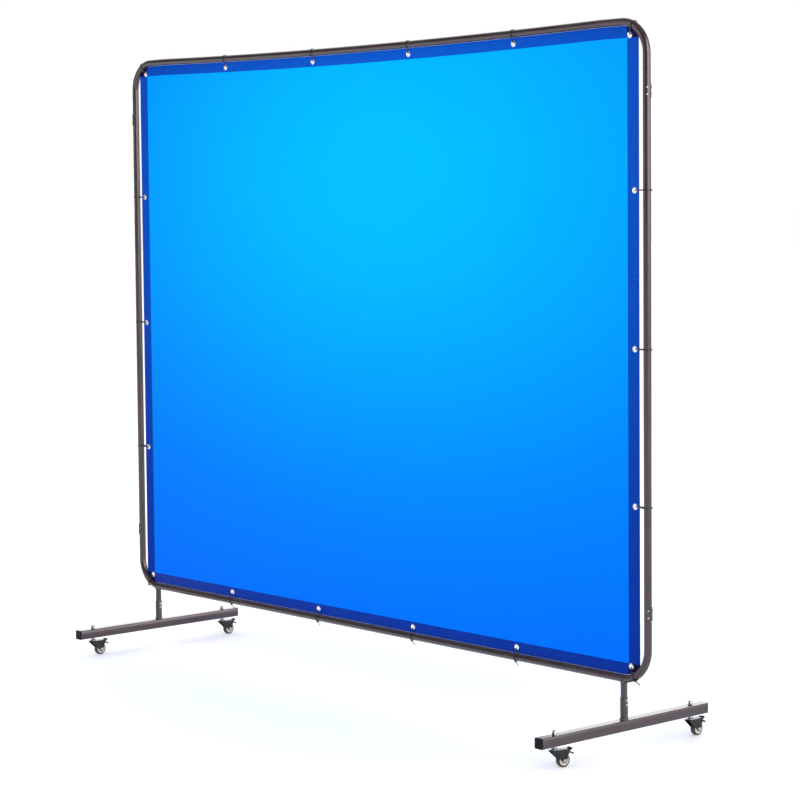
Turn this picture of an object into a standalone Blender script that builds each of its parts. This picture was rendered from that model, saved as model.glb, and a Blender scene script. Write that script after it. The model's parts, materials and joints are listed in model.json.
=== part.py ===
"""Mobile welding curtain screen: a round-tube frame on castered feet that holds a tinted vinyl curtain.

Units are metres and +Z is up. X runs along the screen and Y across it. The origin is on the floor, under
the middle of the screen. Run it with: blender --background --python part.py
"""

import math

import bmesh
import bpy
from mathutils import Matrix, Vector

# Clearances
GAP = 0.0003  # between pieces that touch
FIT_GAP = 0.0004  # around a shaft, stub or plug inside its hole
TIE_GAP = 0.0006  # between a cable tie and the tube it goes round
THROUGH = 0.010  # by which a cutter passes what it cuts

# Frame: round tube with bent corners
FRAME_WIDTH = 2.40  # outside
FRAME_HEIGHT = 1.82  # outside
TUBE_RADIUS = 0.011
TUBE_WALL = 0.0012
BEND_RADIUS = 0.090  # of the tube's centre line
CORNER_RUN = 0.170  # from an upright's centre line to the end of a corner piece
CORNER_DROP = 0.190  # from the top or bottom tube's centre line to the end of a corner piece
SWAGE_LENGTH = 0.035  # narrowed end that slides into a corner piece
SWAGE_TAPER = 0.002
TOP_SAG = 0.012  # of the top tube at the middle of its span

# Saddle plates over the joints of the uprights
SADDLE_LENGTH = 0.038
SADDLE_THICKNESS = 0.0015
SADDLE_ANGLE = math.radians(160)
SADDLE_STEPS = 8

# Feet
BEAM_LENGTH = 0.660
BEAM_SIDE = 0.030
BEAM_WALL = 0.0015
BEAM_CORNER = 0.0025
BEAM_CORNER_STEPS = 2
PLUG_HEAD = 0.003
PLUG_BEVEL = 0.001
PLUG_DEPTH = 0.014
SOCKET_RADIUS = 0.011
SOCKET_WALL = 0.0012
SOCKET_HEIGHT = 0.062
STUB_WALL = 0.0015
STUB_DEPTH = 0.045  # inside the socket
STUB_SHOWING = 0.042  # between the socket and the bottom tube

# Curtain
CURTAIN_THICKNESS = 0.0015
SIDE_GAP = 0.018  # from the curtain's edge to the uprights
END_GAP = 0.0015  # from the curtain's edge to the top and bottom tubes and to the bends
GROMMET_INSET = 0.0165  # of a hole's centre from the curtain's edge
GROMMET_HOLE_RADIUS = 0.005
CORNER_HOLE_INSET = 0.019  # of a corner hole's centre from the bent tube
CORNER_HOLE_ANGLE = math.radians(62)  # about the bend's centre, from level
HOLES_BETWEEN_TOP = 4
HOLES_BETWEEN_SIDE = 3
SIDE_HOLES_RISE = 0.012  # of the holes in the side hems above even spacing

# Cable ties
TIE_WIDTH = 0.0036
TIE_THICKNESS = 0.0012
TIE_TIP_RADIUS = 0.0026  # of the strap's centre line where it turns through the hole
TIE_HEAD_WIDTH = 0.0056
TIE_HEAD_THICKNESS = 0.0042
TIE_HEAD_LENGTH = 0.0060
TIE_HEAD_RAMP = 0.0004
TIE_HEAD_PLACE = 0.45  # share of the front run, from the tube to the hole

# Casters, each in its own frame: the stem's axis is Z, the floor is z = 0 and the wheel trails towards +Y
STEM_INSET = 0.057  # of a stem's axis from the end of its beam
WHEEL_RADIUS = 0.019
WHEEL_SIDES = 20
WHEEL_WIDTH = 0.016
TYRE_THICKNESS = 0.0045
TYRE_BEVEL = 0.0018
SEAT_BEVEL = 0.0005  # of the wheel centre and the tyre where they meet
HUB_RIM = 0.0035
HUB_WEB = 0.006
HUB_BOSS_RADIUS = 0.0055
CASTER_TRAIL = 0.027
FORK_WALL = 0.0016
FORK_CLEARANCE = 0.0012  # between a wheel and a cheek
CROWN_CLEARANCE = 0.0094  # between a wheel and the crown, for the head of the stem
CROWN_FRONT = 0.012
CROWN_EDGE = 0.0035  # depth of the fork's front end
CROWN_BEVEL = 0.002
CHEEK_MARGIN = 0.0017  # around the axle's head
AXLE_RADIUS = 0.0025
AXLE_HEAD_RADIUS = 0.0048
AXLE_FACE_RADIUS = 0.0029
AXLE_HEAD = 0.0024
STEM_NECK = 0.011  # from the fork's crown to the beam
STEM_RADIUS = 0.0039
STEM_SHANK_RADIUS = 0.0046
STEM_RIVET_RADIUS = 0.0065
STEM_RIVET = 0.002
STEM_DOME_RADIUS = 0.0095
STEM_DOME_EDGE = 0.0025
STEM_DOME_BEVEL = 0.0018
STEM_DOME_HEIGHT = 0.0055
STEM_COLLAR_RADIUS = 0.0065
STEM_PROUD = 0.009  # of the stud above the beam
NUT_FLATS = 0.013
NUT_SIDES = 12  # two for each flat
NUT_HEX_HEIGHT = 0.0060
NUT_HEIGHT = 0.0132
NUT_DOME_INSET = 0.0003
# Brakes
PIN_RADIUS = 0.0015
PIN_HEAD = 0.0012
PIN_DROP = 0.0064  # of the brake's pin below the crown's underside
PIN_CLEARANCE = 0.005  # from the tyre to the pin's axis
PIN_MARGIN = 0.005  # of the cheek behind the pin
PIN_SKIRT = 0.0035  # of the cheek below the pin
BRAKE_GAP = 0.0005  # between the pressed cam and the tyre
BRAKE_SWING = math.radians(30)
PEDAL_BOSS = 0.0034
PEDAL_THICKNESS = 0.003
PEDAL_NOTCH = 0.0085  # from the pin to the notch between the two tabs
PEDAL_LENGTH = 0.0215  # from the pin to the tip of the foot tab
PEDAL_DROP = 0.0075
PEDAL_RELEASE = 0.017  # from the pin to the tip of the release tab
PEDAL_RISE = 0.010
# Heading of each wheel in degrees, turned from straight back, as the screen was last pushed
HEADINGS = {"left_front": 0, "left_back": 0, "right_front": -12, "right_back": 0}

# Facets
TUBE_SIDES = 16
BEND_STEPS = 8
SAG_STEPS = 8
TURNED_SIDES = 12
PIN_SIDES = 8
CHEEK_STEPS = 6
BOSS_STEPS = 5
CORNER_STEPS = 6
LOOP_STEPS = 8  # of a tie round its tube
TIP_STEPS = 3  # of a tie through its hole

# Casters, worked out from the sizes above
RIM_RADIUS = WHEEL_RADIUS - TYRE_THICKNESS
WHEEL_HEIGHT = WHEEL_RADIUS * math.cos(math.pi / WHEEL_SIDES)  # a flat of the tyre rests on the floor
FORK_INNER = WHEEL_WIDTH / 2 + FORK_CLEARANCE
FORK_OUTER = FORK_INNER + FORK_WALL
CROWN_LOW = 2 * WHEEL_RADIUS + CROWN_CLEARANCE
CROWN_TOP = CROWN_LOW + FORK_WALL
CASTER_HEIGHT = CROWN_TOP + STEM_NECK
PIN_HEIGHT = CROWN_LOW - PIN_DROP
PIN_BACK = math.sqrt((WHEEL_RADIUS + PIN_CLEARANCE) ** 2 - (PIN_HEIGHT - WHEEL_HEIGHT) ** 2)
PIN_Y = CASTER_TRAIL + PIN_BACK
FORK_BACK = PIN_Y + PIN_MARGIN
BRAKE_NOSE = PIN_CLEARANCE - BRAKE_GAP

# Feet and frame, worked out from the sizes above
BEAM_BOTTOM = CASTER_HEIGHT
BEAM_TOP = BEAM_BOTTOM + BEAM_SIDE
STEM_Y = BEAM_LENGTH / 2 - STEM_INSET
SOCKET_TOP = BEAM_TOP + SOCKET_HEIGHT
BOTTOM_TUBE_HEIGHT = SOCKET_TOP + STUB_SHOWING + TUBE_RADIUS
TOP_TUBE_HEIGHT = BOTTOM_TUBE_HEIGHT + FRAME_HEIGHT - 2 * TUBE_RADIUS
HALF_WIDTH = FRAME_WIDTH / 2 - TUBE_RADIUS  # to the uprights' centre lines
HALF_SPAN = HALF_WIDTH - CORNER_RUN  # to the ends of the corner pieces
POST_X = HALF_WIDTH - BEND_RADIUS  # under the start of each bend
CORNER_REACH = TUBE_RADIUS + CORNER_HOLE_INSET  # from the bend's centre line to a corner hole


# Materials and objects


def material(name, colour, roughness, metallic=0.0):
    """A plain finish."""
    made = bpy.data.materials.new(name)
    made.use_nodes = True
    shader = made.node_tree.nodes["Principled BSDF"]
    shader.inputs["Base Color"].default_value = (*colour, 1.0)
    shader.inputs["Roughness"].default_value = roughness
    shader.inputs["Metallic"].default_value = metallic
    made.diffuse_color = (*colour, 1.0)
    return made


def powder_coat():
    return material("powder_coat", (0.045, 0.036, 0.037), 0.30, 0.35)


def zinc():
    return material("zinc_plate", (0.62, 0.62, 0.63), 0.28, 1.0)


def black_steel():
    return material("black_steel", (0.030, 0.028, 0.028), 0.38, 0.6)


def black_plastic():
    return material("black_plastic", (0.012, 0.011, 0.012), 0.42)


def tyre_rubber():
    return material("tyre_rubber", (0.040, 0.032, 0.028), 0.62)


def rim_plastic():
    return material("rim_plastic", (0.78, 0.74, 0.69), 0.45)


def curtain_vinyl():
    return material("curtain_vinyl", (0.0, 0.40, 0.95), 0.18)


def tie_nylon():
    return material("tie_nylon", (0.015, 0.014, 0.015), 0.50)


def add_object(name, bm, finish, parent=None):
    """Turn a bmesh into a named object, with its faces pointing out and its round sides smooth."""
    bmesh.ops.recalc_face_normals(bm, faces=bm.faces)
    if bm.calc_volume(signed=True) < 0:
        bmesh.ops.reverse_faces(bm, faces=bm.faces)
    mesh = bpy.data.meshes.new(name)
    bm.to_mesh(mesh)
    bm.free()
    mesh.materials.append(finish)
    mesh.shade_smooth()
    mesh.set_sharp_from_angle(angle=math.radians(35))
    made = bpy.data.objects.new(name, mesh)
    bpy.context.scene.collection.objects.link(made)
    made.parent = parent
    return made


def cut(target, name, bm, operation="DIFFERENCE"):
    """Cut or join a hidden shape into a piece with an exact Boolean."""
    cutter = add_object(name, bm, target.data.materials[0], target.parent)
    cutter.hide_render = True
    cutter.display_type = "WIRE"
    boolean = target.modifiers.new(name, "BOOLEAN")
    boolean.operation = operation
    boolean.solver = "EXACT"
    boolean.object = cutter
    return cutter


# Shapes


def skin(rings, closed=False):
    """Join rings of as many points each; the ends are capped unless the last ring meets the first."""
    bm = bmesh.new()
    rows = [[bm.verts.new(point) for point in ring] for ring in rings]
    pairs = list(zip(rows, rows[1:]))
    if closed:
        pairs.append((rows[-1], rows[0]))
    for low, high in pairs:
        for i in range(len(low)):
            j = (i + 1) % len(low)
            bm.faces.new((low[i], low[j], high[j], high[i]))
    if not closed:
        bm.faces.new(list(reversed(rows[0])))
        bm.faces.new(rows[-1])
    return bm


def circle(radius, sides, centre=(0, 0, 0), across=(1, 0, 0), up=(0, 1, 0)):
    """Points of a circle in the plane of two unit vectors."""
    centre = Vector(centre)
    across = Vector(across)
    up = Vector(up)
    angles = [2 * math.pi * i / sides for i in range(sides)]
    return [centre + radius * (math.cos(a) * across + math.sin(a) * up) for a in angles]


def turned(profile, sides=TURNED_SIDES, closed=False):
    """A solid turned about Z from (radius, height) points; a closed profile makes a ring with a bore."""
    return skin([circle(radius, sides, (0, 0, height)) for radius, height in profile], closed)


def drill(radius, low, high, sides=TURNED_SIDES):
    """A cutter about Z for a hole that a round piece fits in."""
    return turned([(radius + FIT_GAP, low - THROUGH), (radius + FIT_GAP, high + THROUGH)], sides)


def along_x(bm):
    """Lay a shape turned about Z along X instead."""
    bm.transform(Matrix(((0, 0, 1, 0), (1, 0, 0, 0), (0, 1, 0, 0), (0, 0, 0, 1))))
    return bm


def moved(bm, x=0.0, y=0.0, z=0.0):
    bmesh.ops.translate(bm, verts=bm.verts, vec=(x, y, z))
    return bm


def arc(centre, radius, start, end, steps):
    """Points of an arc in a plane, both ends included."""
    angles = [start + (end - start) * i / steps for i in range(steps + 1)]
    return [(centre[0] + radius * math.cos(a), centre[1] + radius * math.sin(a)) for a in angles]


def rounded_square(half, radius):
    """Points of a square with rounded corners, anticlockwise."""
    points = []
    for quarter in range(4):
        turn = quarter * math.pi / 2
        middle = turn + math.pi / 4
        reach = (half - radius) * math.sqrt(2)
        centre = (reach * math.cos(middle), reach * math.sin(middle))
        points += arc(centre, radius, turn, turn + math.pi / 2, BEAM_CORNER_STEPS)
    return points


def side_plate(outline, half_width):
    """A plate whose (y, z) outline is pulled along X to both sides."""
    return skin([[Vector((x, y, z)) for y, z in outline] for x in (-half_width, half_width)])


def tube(path, sections):
    """A hollow round tube in the XZ plane: one (outer, inner) radius pair for each point of its path."""
    outer = []
    inner = []
    for i, point in enumerate(path):
        before = path[max(i - 1, 0)]
        after = path[min(i + 1, len(path) - 1)]
        along = (after - before).normalized()
        across = Vector((0, 1, 0)).cross(along)
        outer.append(circle(sections[i][0], TUBE_SIDES, point, across, (0, 1, 0)))
        inner.append(circle(sections[i][1], TUBE_SIDES, point, across, (0, 1, 0)))
    return skin(outer + inner[::-1], closed=True)


# Frame


def sag_at(x):
    """Drop of the top tube at x: none at the corner pieces, most at the middle."""
    return TOP_SAG * max(0.0, 1 - (x / HALF_SPAN) ** 2)


def full_section():
    return (TUBE_RADIUS, TUBE_RADIUS - TUBE_WALL)


def swage_section():
    outer = TUBE_RADIUS - TUBE_WALL - FIT_GAP
    return (outer, outer - TUBE_WALL)


def corner_piece(name, side, level):
    """A bent tube: side is -1 or 1 for left or right, level is -1 or 1 for bottom or top."""
    height = TOP_TUBE_HEIGHT if level > 0 else BOTTOM_TUBE_HEIGHT
    steps = [math.pi / 2 * i / BEND_STEPS for i in range(BEND_STEPS + 1)]
    path = [Vector((HALF_SPAN, 0, 0))]
    for a in steps:
        path.append(Vector((POST_X + BEND_RADIUS * math.sin(a), 0, BEND_RADIUS * (math.cos(a) - 1))))
    path.append(Vector((HALF_WIDTH, 0, -CORNER_DROP)))
    path = [Vector((side * p.x, 0, height + level * p.z)) for p in path]
    return add_object(name, tube(path, [full_section()] * len(path)), powder_coat())


def swaged_tube(name, points):
    """A straight or slightly sagging tube whose two ends are narrowed to slide into the corner pieces."""
    along = (points[-1] - points[0]).normalized()
    steps = (-SWAGE_LENGTH, GAP, GAP + SWAGE_TAPER)  # tip, neck and shoulder, from the end of a corner piece
    head = [points[0] + along * step for step in steps]
    tail = [points[-1] - along * step for step in reversed(steps)]
    path = head + points[1:-1] + tail
    narrow = swage_section()
    wide = [full_section()] * (len(path) - 4)
    return add_object(name, tube(path, [narrow, narrow] + wide + [narrow, narrow]), powder_coat())


def build_frame():
    for side, side_name in ((-1, "left"), (1, "right")):
        corner_piece(f"corner_top_{side_name}", side, 1)
        corner_piece(f"corner_bottom_{side_name}", side, -1)
        low = BOTTOM_TUBE_HEIGHT + CORNER_DROP
        high = TOP_TUBE_HEIGHT - CORNER_DROP
        x = side * HALF_WIDTH
        swaged_tube(f"upright_{side_name}", [Vector((x, 0, z)) for z in (low, (low + high) / 2, high)])
        saddle_plate(f"joint_saddle_top_{side_name}", side, high)
        saddle_plate(f"joint_saddle_bottom_{side_name}", side, low)
    xs = [HALF_SPAN * (2 * i / SAG_STEPS - 1) for i in range(SAG_STEPS + 1)]
    swaged_tube("top_tube", [Vector((x, 0, TOP_TUBE_HEIGHT - sag_at(x))) for x in xs])
    swaged_tube("bottom_tube", [Vector((x, 0, BOTTOM_TUBE_HEIGHT)) for x in (-HALF_SPAN, 0, HALF_SPAN)])


def saddle_plate(name, side, height):
    """A curved plate screwed over a joint, on the outer side of an upright."""
    middle = 0 if side > 0 else math.pi
    inner = TUBE_RADIUS + GAP
    ends = (middle - SADDLE_ANGLE / 2, middle + SADDLE_ANGLE / 2)
    outline = arc((0, 0), inner + SADDLE_THICKNESS, *ends, SADDLE_STEPS)
    outline += arc((0, 0), inner, *reversed(ends), SADDLE_STEPS)
    rings = [[Vector((x, y, z)) for x, y in outline] for z in (-SADDLE_LENGTH / 2, SADDLE_LENGTH / 2)]
    return add_object(name, moved(skin(rings), side * HALF_WIDTH, 0, height), powder_coat())


# Feet


def foot_beam(name, x):
    """A square tube along Y, drilled through both walls for the two caster stems."""
    rings = []
    for half, radius, ends in (
        (BEAM_SIDE / 2, BEAM_CORNER, (-1, 1)),
        (BEAM_SIDE / 2 - BEAM_WALL, BEAM_CORNER - BEAM_WALL, (1, -1)),
    ):
        for end in ends:
            rings.append([Vector((a, end * BEAM_LENGTH / 2, b)) for a, b in rounded_square(half, radius)])
    walls = moved(skin(rings, closed=True), x, 0, BEAM_BOTTOM + BEAM_SIDE / 2)
    beam = add_object(name, walls, powder_coat())
    for end, end_name in ((-1, "front"), (1, "back")):
        hole = drill(STEM_RADIUS, BEAM_BOTTOM, BEAM_TOP)
        cut(beam, f"{name}_stem_hole_{end_name}", moved(hole, x, end * STEM_Y))
    return beam


def end_plug(name, x, end):
    """A plastic plug: a head as wide as the beam and a skirt inside it."""
    skirt_half = BEAM_SIDE / 2 - BEAM_WALL - FIT_GAP
    face = BEAM_LENGTH / 2 + GAP
    rings = []
    for half, radius, y in (
        (BEAM_SIDE / 2 - PLUG_BEVEL, BEAM_CORNER, face + PLUG_HEAD),
        (BEAM_SIDE / 2, BEAM_CORNER, face + PLUG_HEAD - PLUG_BEVEL),
        (BEAM_SIDE / 2, BEAM_CORNER, face),
        (skirt_half, BEAM_CORNER - BEAM_WALL, face),
        (skirt_half, BEAM_CORNER - BEAM_WALL, face - PLUG_DEPTH),
    ):
        rings.append([Vector((a, end * y, b)) for a, b in rounded_square(half, radius)])
    return add_object(name, moved(skin(rings), x, 0, BEAM_BOTTOM + BEAM_SIDE / 2), black_plastic())


def ring_tube(radius, wall, low, high):
    """An upright round tube between two heights."""
    inner = radius - wall
    profile = [(radius, low), (radius, high), (inner, high), (inner, low)]
    return turned(profile, TUBE_SIDES, closed=True)


def build_post(side, side_name):
    """The socket welded to the beam, and the stub welded under the frame that slides into it."""
    x = side * POST_X
    socket = ring_tube(SOCKET_RADIUS, SOCKET_WALL, BEAM_TOP + GAP, SOCKET_TOP)
    add_object(f"post_socket_{side_name}", moved(socket, x), powder_coat())
    stub_radius = SOCKET_RADIUS - SOCKET_WALL - FIT_GAP
    stub = ring_tube(stub_radius, STUB_WALL, SOCKET_TOP - STUB_DEPTH, BOTTOM_TUBE_HEIGHT)
    post = add_object(f"post_stub_{side_name}", moved(stub, x), powder_coat())
    reach = 2 * TUBE_RADIUS
    cope = along_x(turned([(TUBE_RADIUS + GAP, -reach), (TUBE_RADIUS + GAP, reach)], 2 * TUBE_SIDES))
    cut(post, f"post_cope_{side_name}", moved(cope, x, 0, BOTTOM_TUBE_HEIGHT))


# Casters


def tangent_angle(centre, radius, point, side):
    """Angle at which a line from an outside point touches a circle."""
    away = math.hypot(point[0] - centre[0], point[1] - centre[1])
    towards = math.atan2(point[1] - centre[1], point[0] - centre[0])
    return towards + side * math.acos(radius / away)


def fork_outline():
    """Side view of the fork: crown, sloping front edge, round end at the axle and a sloping back edge."""
    centre = (CASTER_TRAIL, WHEEL_HEIGHT)
    radius = AXLE_HEAD_RADIUS + CHEEK_MARGIN
    front = (-CROWN_FRONT, CROWN_TOP - CROWN_EDGE)
    back = (FORK_BACK, PIN_HEIGHT - PIN_SKIRT)
    start = tangent_angle(centre, radius, front, 1)
    end = tangent_angle(centre, radius, back, -1)
    outline = [(-CROWN_FRONT, CROWN_TOP), front]
    outline += arc(centre, radius, start, end + 2 * math.pi, CHEEK_STEPS)
    outline += [back, (FORK_BACK, CROWN_TOP - CROWN_BEVEL), (FORK_BACK - CROWN_BEVEL, CROWN_TOP)]
    return outline


def caster_fork(name, parent):
    """Two cheeks and a crown, drilled for the stem and the axle, with the brake's pin riveted across."""
    fork = add_object(name, side_plate(fork_outline(), FORK_OUTER), black_steel(), parent)
    front = -CROWN_FRONT - THROUGH
    back = FORK_BACK + THROUGH
    channel = [(front, -THROUGH), (back, -THROUGH), (back, CROWN_LOW), (front, CROWN_LOW)]
    cut(fork, f"{name}_channel", side_plate(channel, FORK_INNER))
    cut(fork, f"{name}_stem_hole", drill(STEM_SHANK_RADIUS, CROWN_LOW, CROWN_TOP))
    axle_hole = along_x(drill(AXLE_RADIUS, -FORK_OUTER, FORK_OUTER))
    cut(fork, f"{name}_axle_hole", moved(axle_hole, 0, CASTER_TRAIL, WHEEL_HEIGHT))
    head = FORK_OUTER + PIN_HEAD
    pin = along_x(turned([(PIN_RADIUS, -head), (PIN_RADIUS, head)], PIN_SIDES))
    cut(fork, f"{name}_brake_pin", moved(pin, 0, PIN_Y, PIN_HEIGHT), "UNION")
    return fork


def caster_stem(name, parent):
    """Turned stem: a head under the crown, a bearing dome and collar, and a stud through the beam."""
    head_top = CROWN_LOW - GAP
    collar_top = BEAM_BOTTOM - GAP
    profile = [
        (STEM_RIVET_RADIUS, head_top - STEM_RIVET),
        (STEM_RIVET_RADIUS, head_top),
        (STEM_SHANK_RADIUS, head_top),
        (STEM_SHANK_RADIUS, CROWN_TOP + GAP),
        (STEM_DOME_RADIUS, CROWN_TOP + GAP),
        (STEM_DOME_RADIUS, CROWN_TOP + STEM_DOME_EDGE),
        (STEM_DOME_RADIUS - STEM_DOME_BEVEL, CROWN_TOP + STEM_DOME_EDGE + STEM_DOME_BEVEL),
        (STEM_COLLAR_RADIUS, CROWN_TOP + STEM_DOME_HEIGHT),
        (STEM_COLLAR_RADIUS, collar_top),
        (STEM_RADIUS, collar_top),
        (STEM_RADIUS, BEAM_TOP + STEM_PROUD),
    ]
    return add_object(name, turned(profile), zinc(), parent)


def cap_nut(name, parent):
    """A domed nut with a blind bore that covers the end of the stud."""
    low = BEAM_TOP + GAP
    corner = NUT_FLATS / 2 / math.cos(math.pi / 6)
    hexagon = []
    for i in range(NUT_SIDES):
        radius = corner if i % 2 == 0 else NUT_FLATS / 2
        a = 2 * math.pi * i / NUT_SIDES
        hexagon.append((radius * math.cos(a), radius * math.sin(a)))
    bore = STEM_RADIUS + FIT_GAP
    bore_top = BEAM_TOP + STEM_PROUD + FIT_GAP
    dome = NUT_HEIGHT - NUT_HEX_HEIGHT
    rings = [circle(bore, NUT_SIDES, (0, 0, height)) for height in (bore_top, low)]
    rings += [[Vector((x, y, z)) for x, y in hexagon] for z in (low, low + NUT_HEX_HEIGHT)]
    for a in (math.radians(10), math.radians(40), math.radians(70)):
        radius = (NUT_FLATS / 2 - NUT_DOME_INSET) * math.cos(a)
        rings.append(circle(radius, NUT_SIDES, (0, 0, low + NUT_HEX_HEIGHT + dome * math.sin(a))))
    return add_object(name, skin(rings), zinc(), parent)


def caster_axle(name, parent):
    """The axle rivet, with a head outside each cheek."""
    shoulder = FORK_OUTER + GAP
    profile = [
        (AXLE_FACE_RADIUS, -shoulder - AXLE_HEAD),
        (AXLE_HEAD_RADIUS, -shoulder - AXLE_HEAD / 2),
        (AXLE_HEAD_RADIUS, -shoulder),
        (AXLE_RADIUS, -shoulder),
        (AXLE_RADIUS, shoulder),
        (AXLE_HEAD_RADIUS, shoulder),
        (AXLE_HEAD_RADIUS, shoulder + AXLE_HEAD / 2),
        (AXLE_FACE_RADIUS, shoulder + AXLE_HEAD),
    ]
    return add_object(name, along_x(turned(profile)), zinc(), parent)


def wheel_hub(name, parent):
    """The plastic wheel centre: a rim, a thinner web and a boss with the axle's bore."""
    half = WHEEL_WIDTH / 2
    rim = RIM_RADIUS - GAP
    bore = AXLE_RADIUS + FIT_GAP
    profile = [
        (bore, half),
        (HUB_BOSS_RADIUS, half),
        (HUB_BOSS_RADIUS, HUB_WEB / 2),
        (rim - HUB_RIM, HUB_WEB / 2),
        (rim, half - SEAT_BEVEL),
        (rim, -half + SEAT_BEVEL),
        (rim - HUB_RIM, -HUB_WEB / 2),
        (HUB_BOSS_RADIUS, -HUB_WEB / 2),
        (HUB_BOSS_RADIUS, -half),
        (bore, -half),
    ]
    return add_object(name, along_x(turned(profile, WHEEL_SIDES, closed=True)), rim_plastic(), parent)


def wheel_tyre(name, parent):
    """The rubber tread around the wheel centre; one of its flats lies on the floor."""
    half = WHEEL_WIDTH / 2
    profile = [
        (RIM_RADIUS, half - SEAT_BEVEL),
        (WHEEL_RADIUS - TYRE_BEVEL, half),
        (WHEEL_RADIUS, half - TYRE_BEVEL),
        (WHEEL_RADIUS, -half + TYRE_BEVEL),
        (WHEEL_RADIUS - TYRE_BEVEL, -half),
        (RIM_RADIUS, -half + SEAT_BEVEL),
    ]
    bm = turned(profile, WHEEL_SIDES, closed=True)
    bmesh.ops.rotate(bm, verts=bm.verts, matrix=Matrix.Rotation(math.pi / WHEEL_SIDES, 3, "Z"))
    return add_object(name, along_x(bm), tyre_rubber(), parent)


def pedal_outline():
    """Side view of the brake pedal about its pin: a cam nose, a foot tab and a release tab above it."""
    towards_wheel = math.atan2(WHEEL_HEIGHT - PIN_HEIGHT, -PIN_BACK)
    nose_angle = towards_wheel + BRAKE_SWING
    nose = (BRAKE_NOSE * math.cos(nose_angle), BRAKE_NOSE * math.sin(nose_angle))
    heel = (PEDAL_RELEASE - PEDAL_THICKNESS, PEDAL_RISE)
    start = tangent_angle((0, 0), PEDAL_BOSS, heel, 1)
    end = tangent_angle((0, 0), PEDAL_BOSS, nose, -1)
    outline = arc((0, 0), PEDAL_BOSS, start, end + 2 * math.pi, BOSS_STEPS)
    outline += [
        nose,
        (PEDAL_BOSS, -PEDAL_THICKNESS),
        (PEDAL_NOTCH, -PEDAL_THICKNESS),
        (PEDAL_LENGTH - PEDAL_THICKNESS, -PEDAL_DROP),
        (PEDAL_LENGTH, -PEDAL_DROP),
        (PEDAL_LENGTH, PEDAL_THICKNESS - PEDAL_DROP),
        (PEDAL_NOTCH, PEDAL_THICKNESS / 2),
        (PEDAL_RELEASE, PEDAL_RISE - PEDAL_THICKNESS),
        (PEDAL_RELEASE, PEDAL_RISE),
        heel,
    ]
    return outline


def brake_pedal(name, parent):
    """The rocker on the pin between the cheeks; its cam meets the tyre when the foot tab is down."""
    half_width = FORK_INNER - FORK_CLEARANCE
    pedal = add_object(name, side_plate(pedal_outline(), half_width), black_plastic(), parent)
    cut(pedal, f"{name}_bore", along_x(drill(PIN_RADIUS, -half_width, half_width, PIN_SIDES)))
    return pedal


def pivot(name, location, turn=0.0, parent=None):
    """An empty on a joint's axis."""
    made = bpy.data.objects.new(name, None)
    made.location = location
    made.rotation_euler = (0, 0, turn)
    made.parent = parent
    bpy.context.scene.collection.objects.link(made)
    return made


def build_caster(place, x, y):
    """One swivel caster under the beam at x, y."""
    fixed = pivot(f"caster_{place}", (x, y, 0))
    swivel = pivot(f"swivel_{place}", (0, 0, 0), math.radians(HEADINGS[place]), fixed)
    axle = pivot(f"axle_{place}", (0, CASTER_TRAIL, WHEEL_HEIGHT), 0, swivel)
    pin = pivot(f"brake_pin_{place}", (0, PIN_Y, PIN_HEIGHT), 0, swivel)
    caster_stem(f"caster_stem_{place}", fixed)
    cap_nut(f"stem_nut_{place}", fixed)
    caster_fork(f"caster_fork_{place}", swivel)
    caster_axle(f"caster_axle_{place}", axle)
    wheel_hub(f"wheel_hub_{place}", axle)
    wheel_tyre(f"wheel_tyre_{place}", axle)
    brake_pedal(f"brake_pedal_{place}", pin)


def build_feet():
    for side, side_name in ((-1, "left"), (1, "right")):
        x = side * POST_X
        foot_beam(f"foot_beam_{side_name}", x)
        build_post(side, side_name)
        for end, end_name in ((-1, "front"), (1, "back")):
            end_plug(f"end_plug_{side_name}_{end_name}", x, end)
            build_caster(f"{side_name}_{end_name}", x, end * STEM_Y)


# Curtain and its ties


def curtain_edges():
    """Half width and bottom edge of the curtain."""
    half_width = HALF_WIDTH - TUBE_RADIUS - SIDE_GAP
    bottom = BOTTOM_TUBE_HEIGHT + TUBE_RADIUS + END_GAP
    return half_width, bottom


def curtain_top_at(x):
    return TOP_TUBE_HEIGHT - sag_at(x) - TUBE_RADIUS - END_GAP


def rounded_corner():
    """Corner of the curtain inside the bend, from its side edge, as (x, depth below the top tube) points."""
    half_width, _ = curtain_edges()
    radius = BEND_RADIUS - TUBE_RADIUS - END_GAP
    side_angle = math.acos((half_width - POST_X) / radius)
    points = arc((POST_X, -BEND_RADIUS), radius, side_angle, math.pi / 2, CORNER_STEPS)
    return [(x, -z) for x, z in points]


def curtain_outline():
    """The curtain's edge, anticlockwise from the bottom left."""
    corner = rounded_corner()
    left_bottom = [(-x, BOTTOM_TUBE_HEIGHT + depth) for x, depth in corner]
    right_bottom = [(x, BOTTOM_TUBE_HEIGHT + depth) for x, depth in reversed(corner)]
    right_top = [(x, TOP_TUBE_HEIGHT - depth) for x, depth in corner]
    left_top = [(-x, TOP_TUBE_HEIGHT - depth) for x, depth in reversed(corner)]
    xs = [HALF_SPAN * (1 - 2 * i / SAG_STEPS) for i in range(SAG_STEPS + 1)]
    top = [(x, curtain_top_at(x)) for x in xs]
    return left_bottom + right_bottom + right_top + top + left_top


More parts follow.
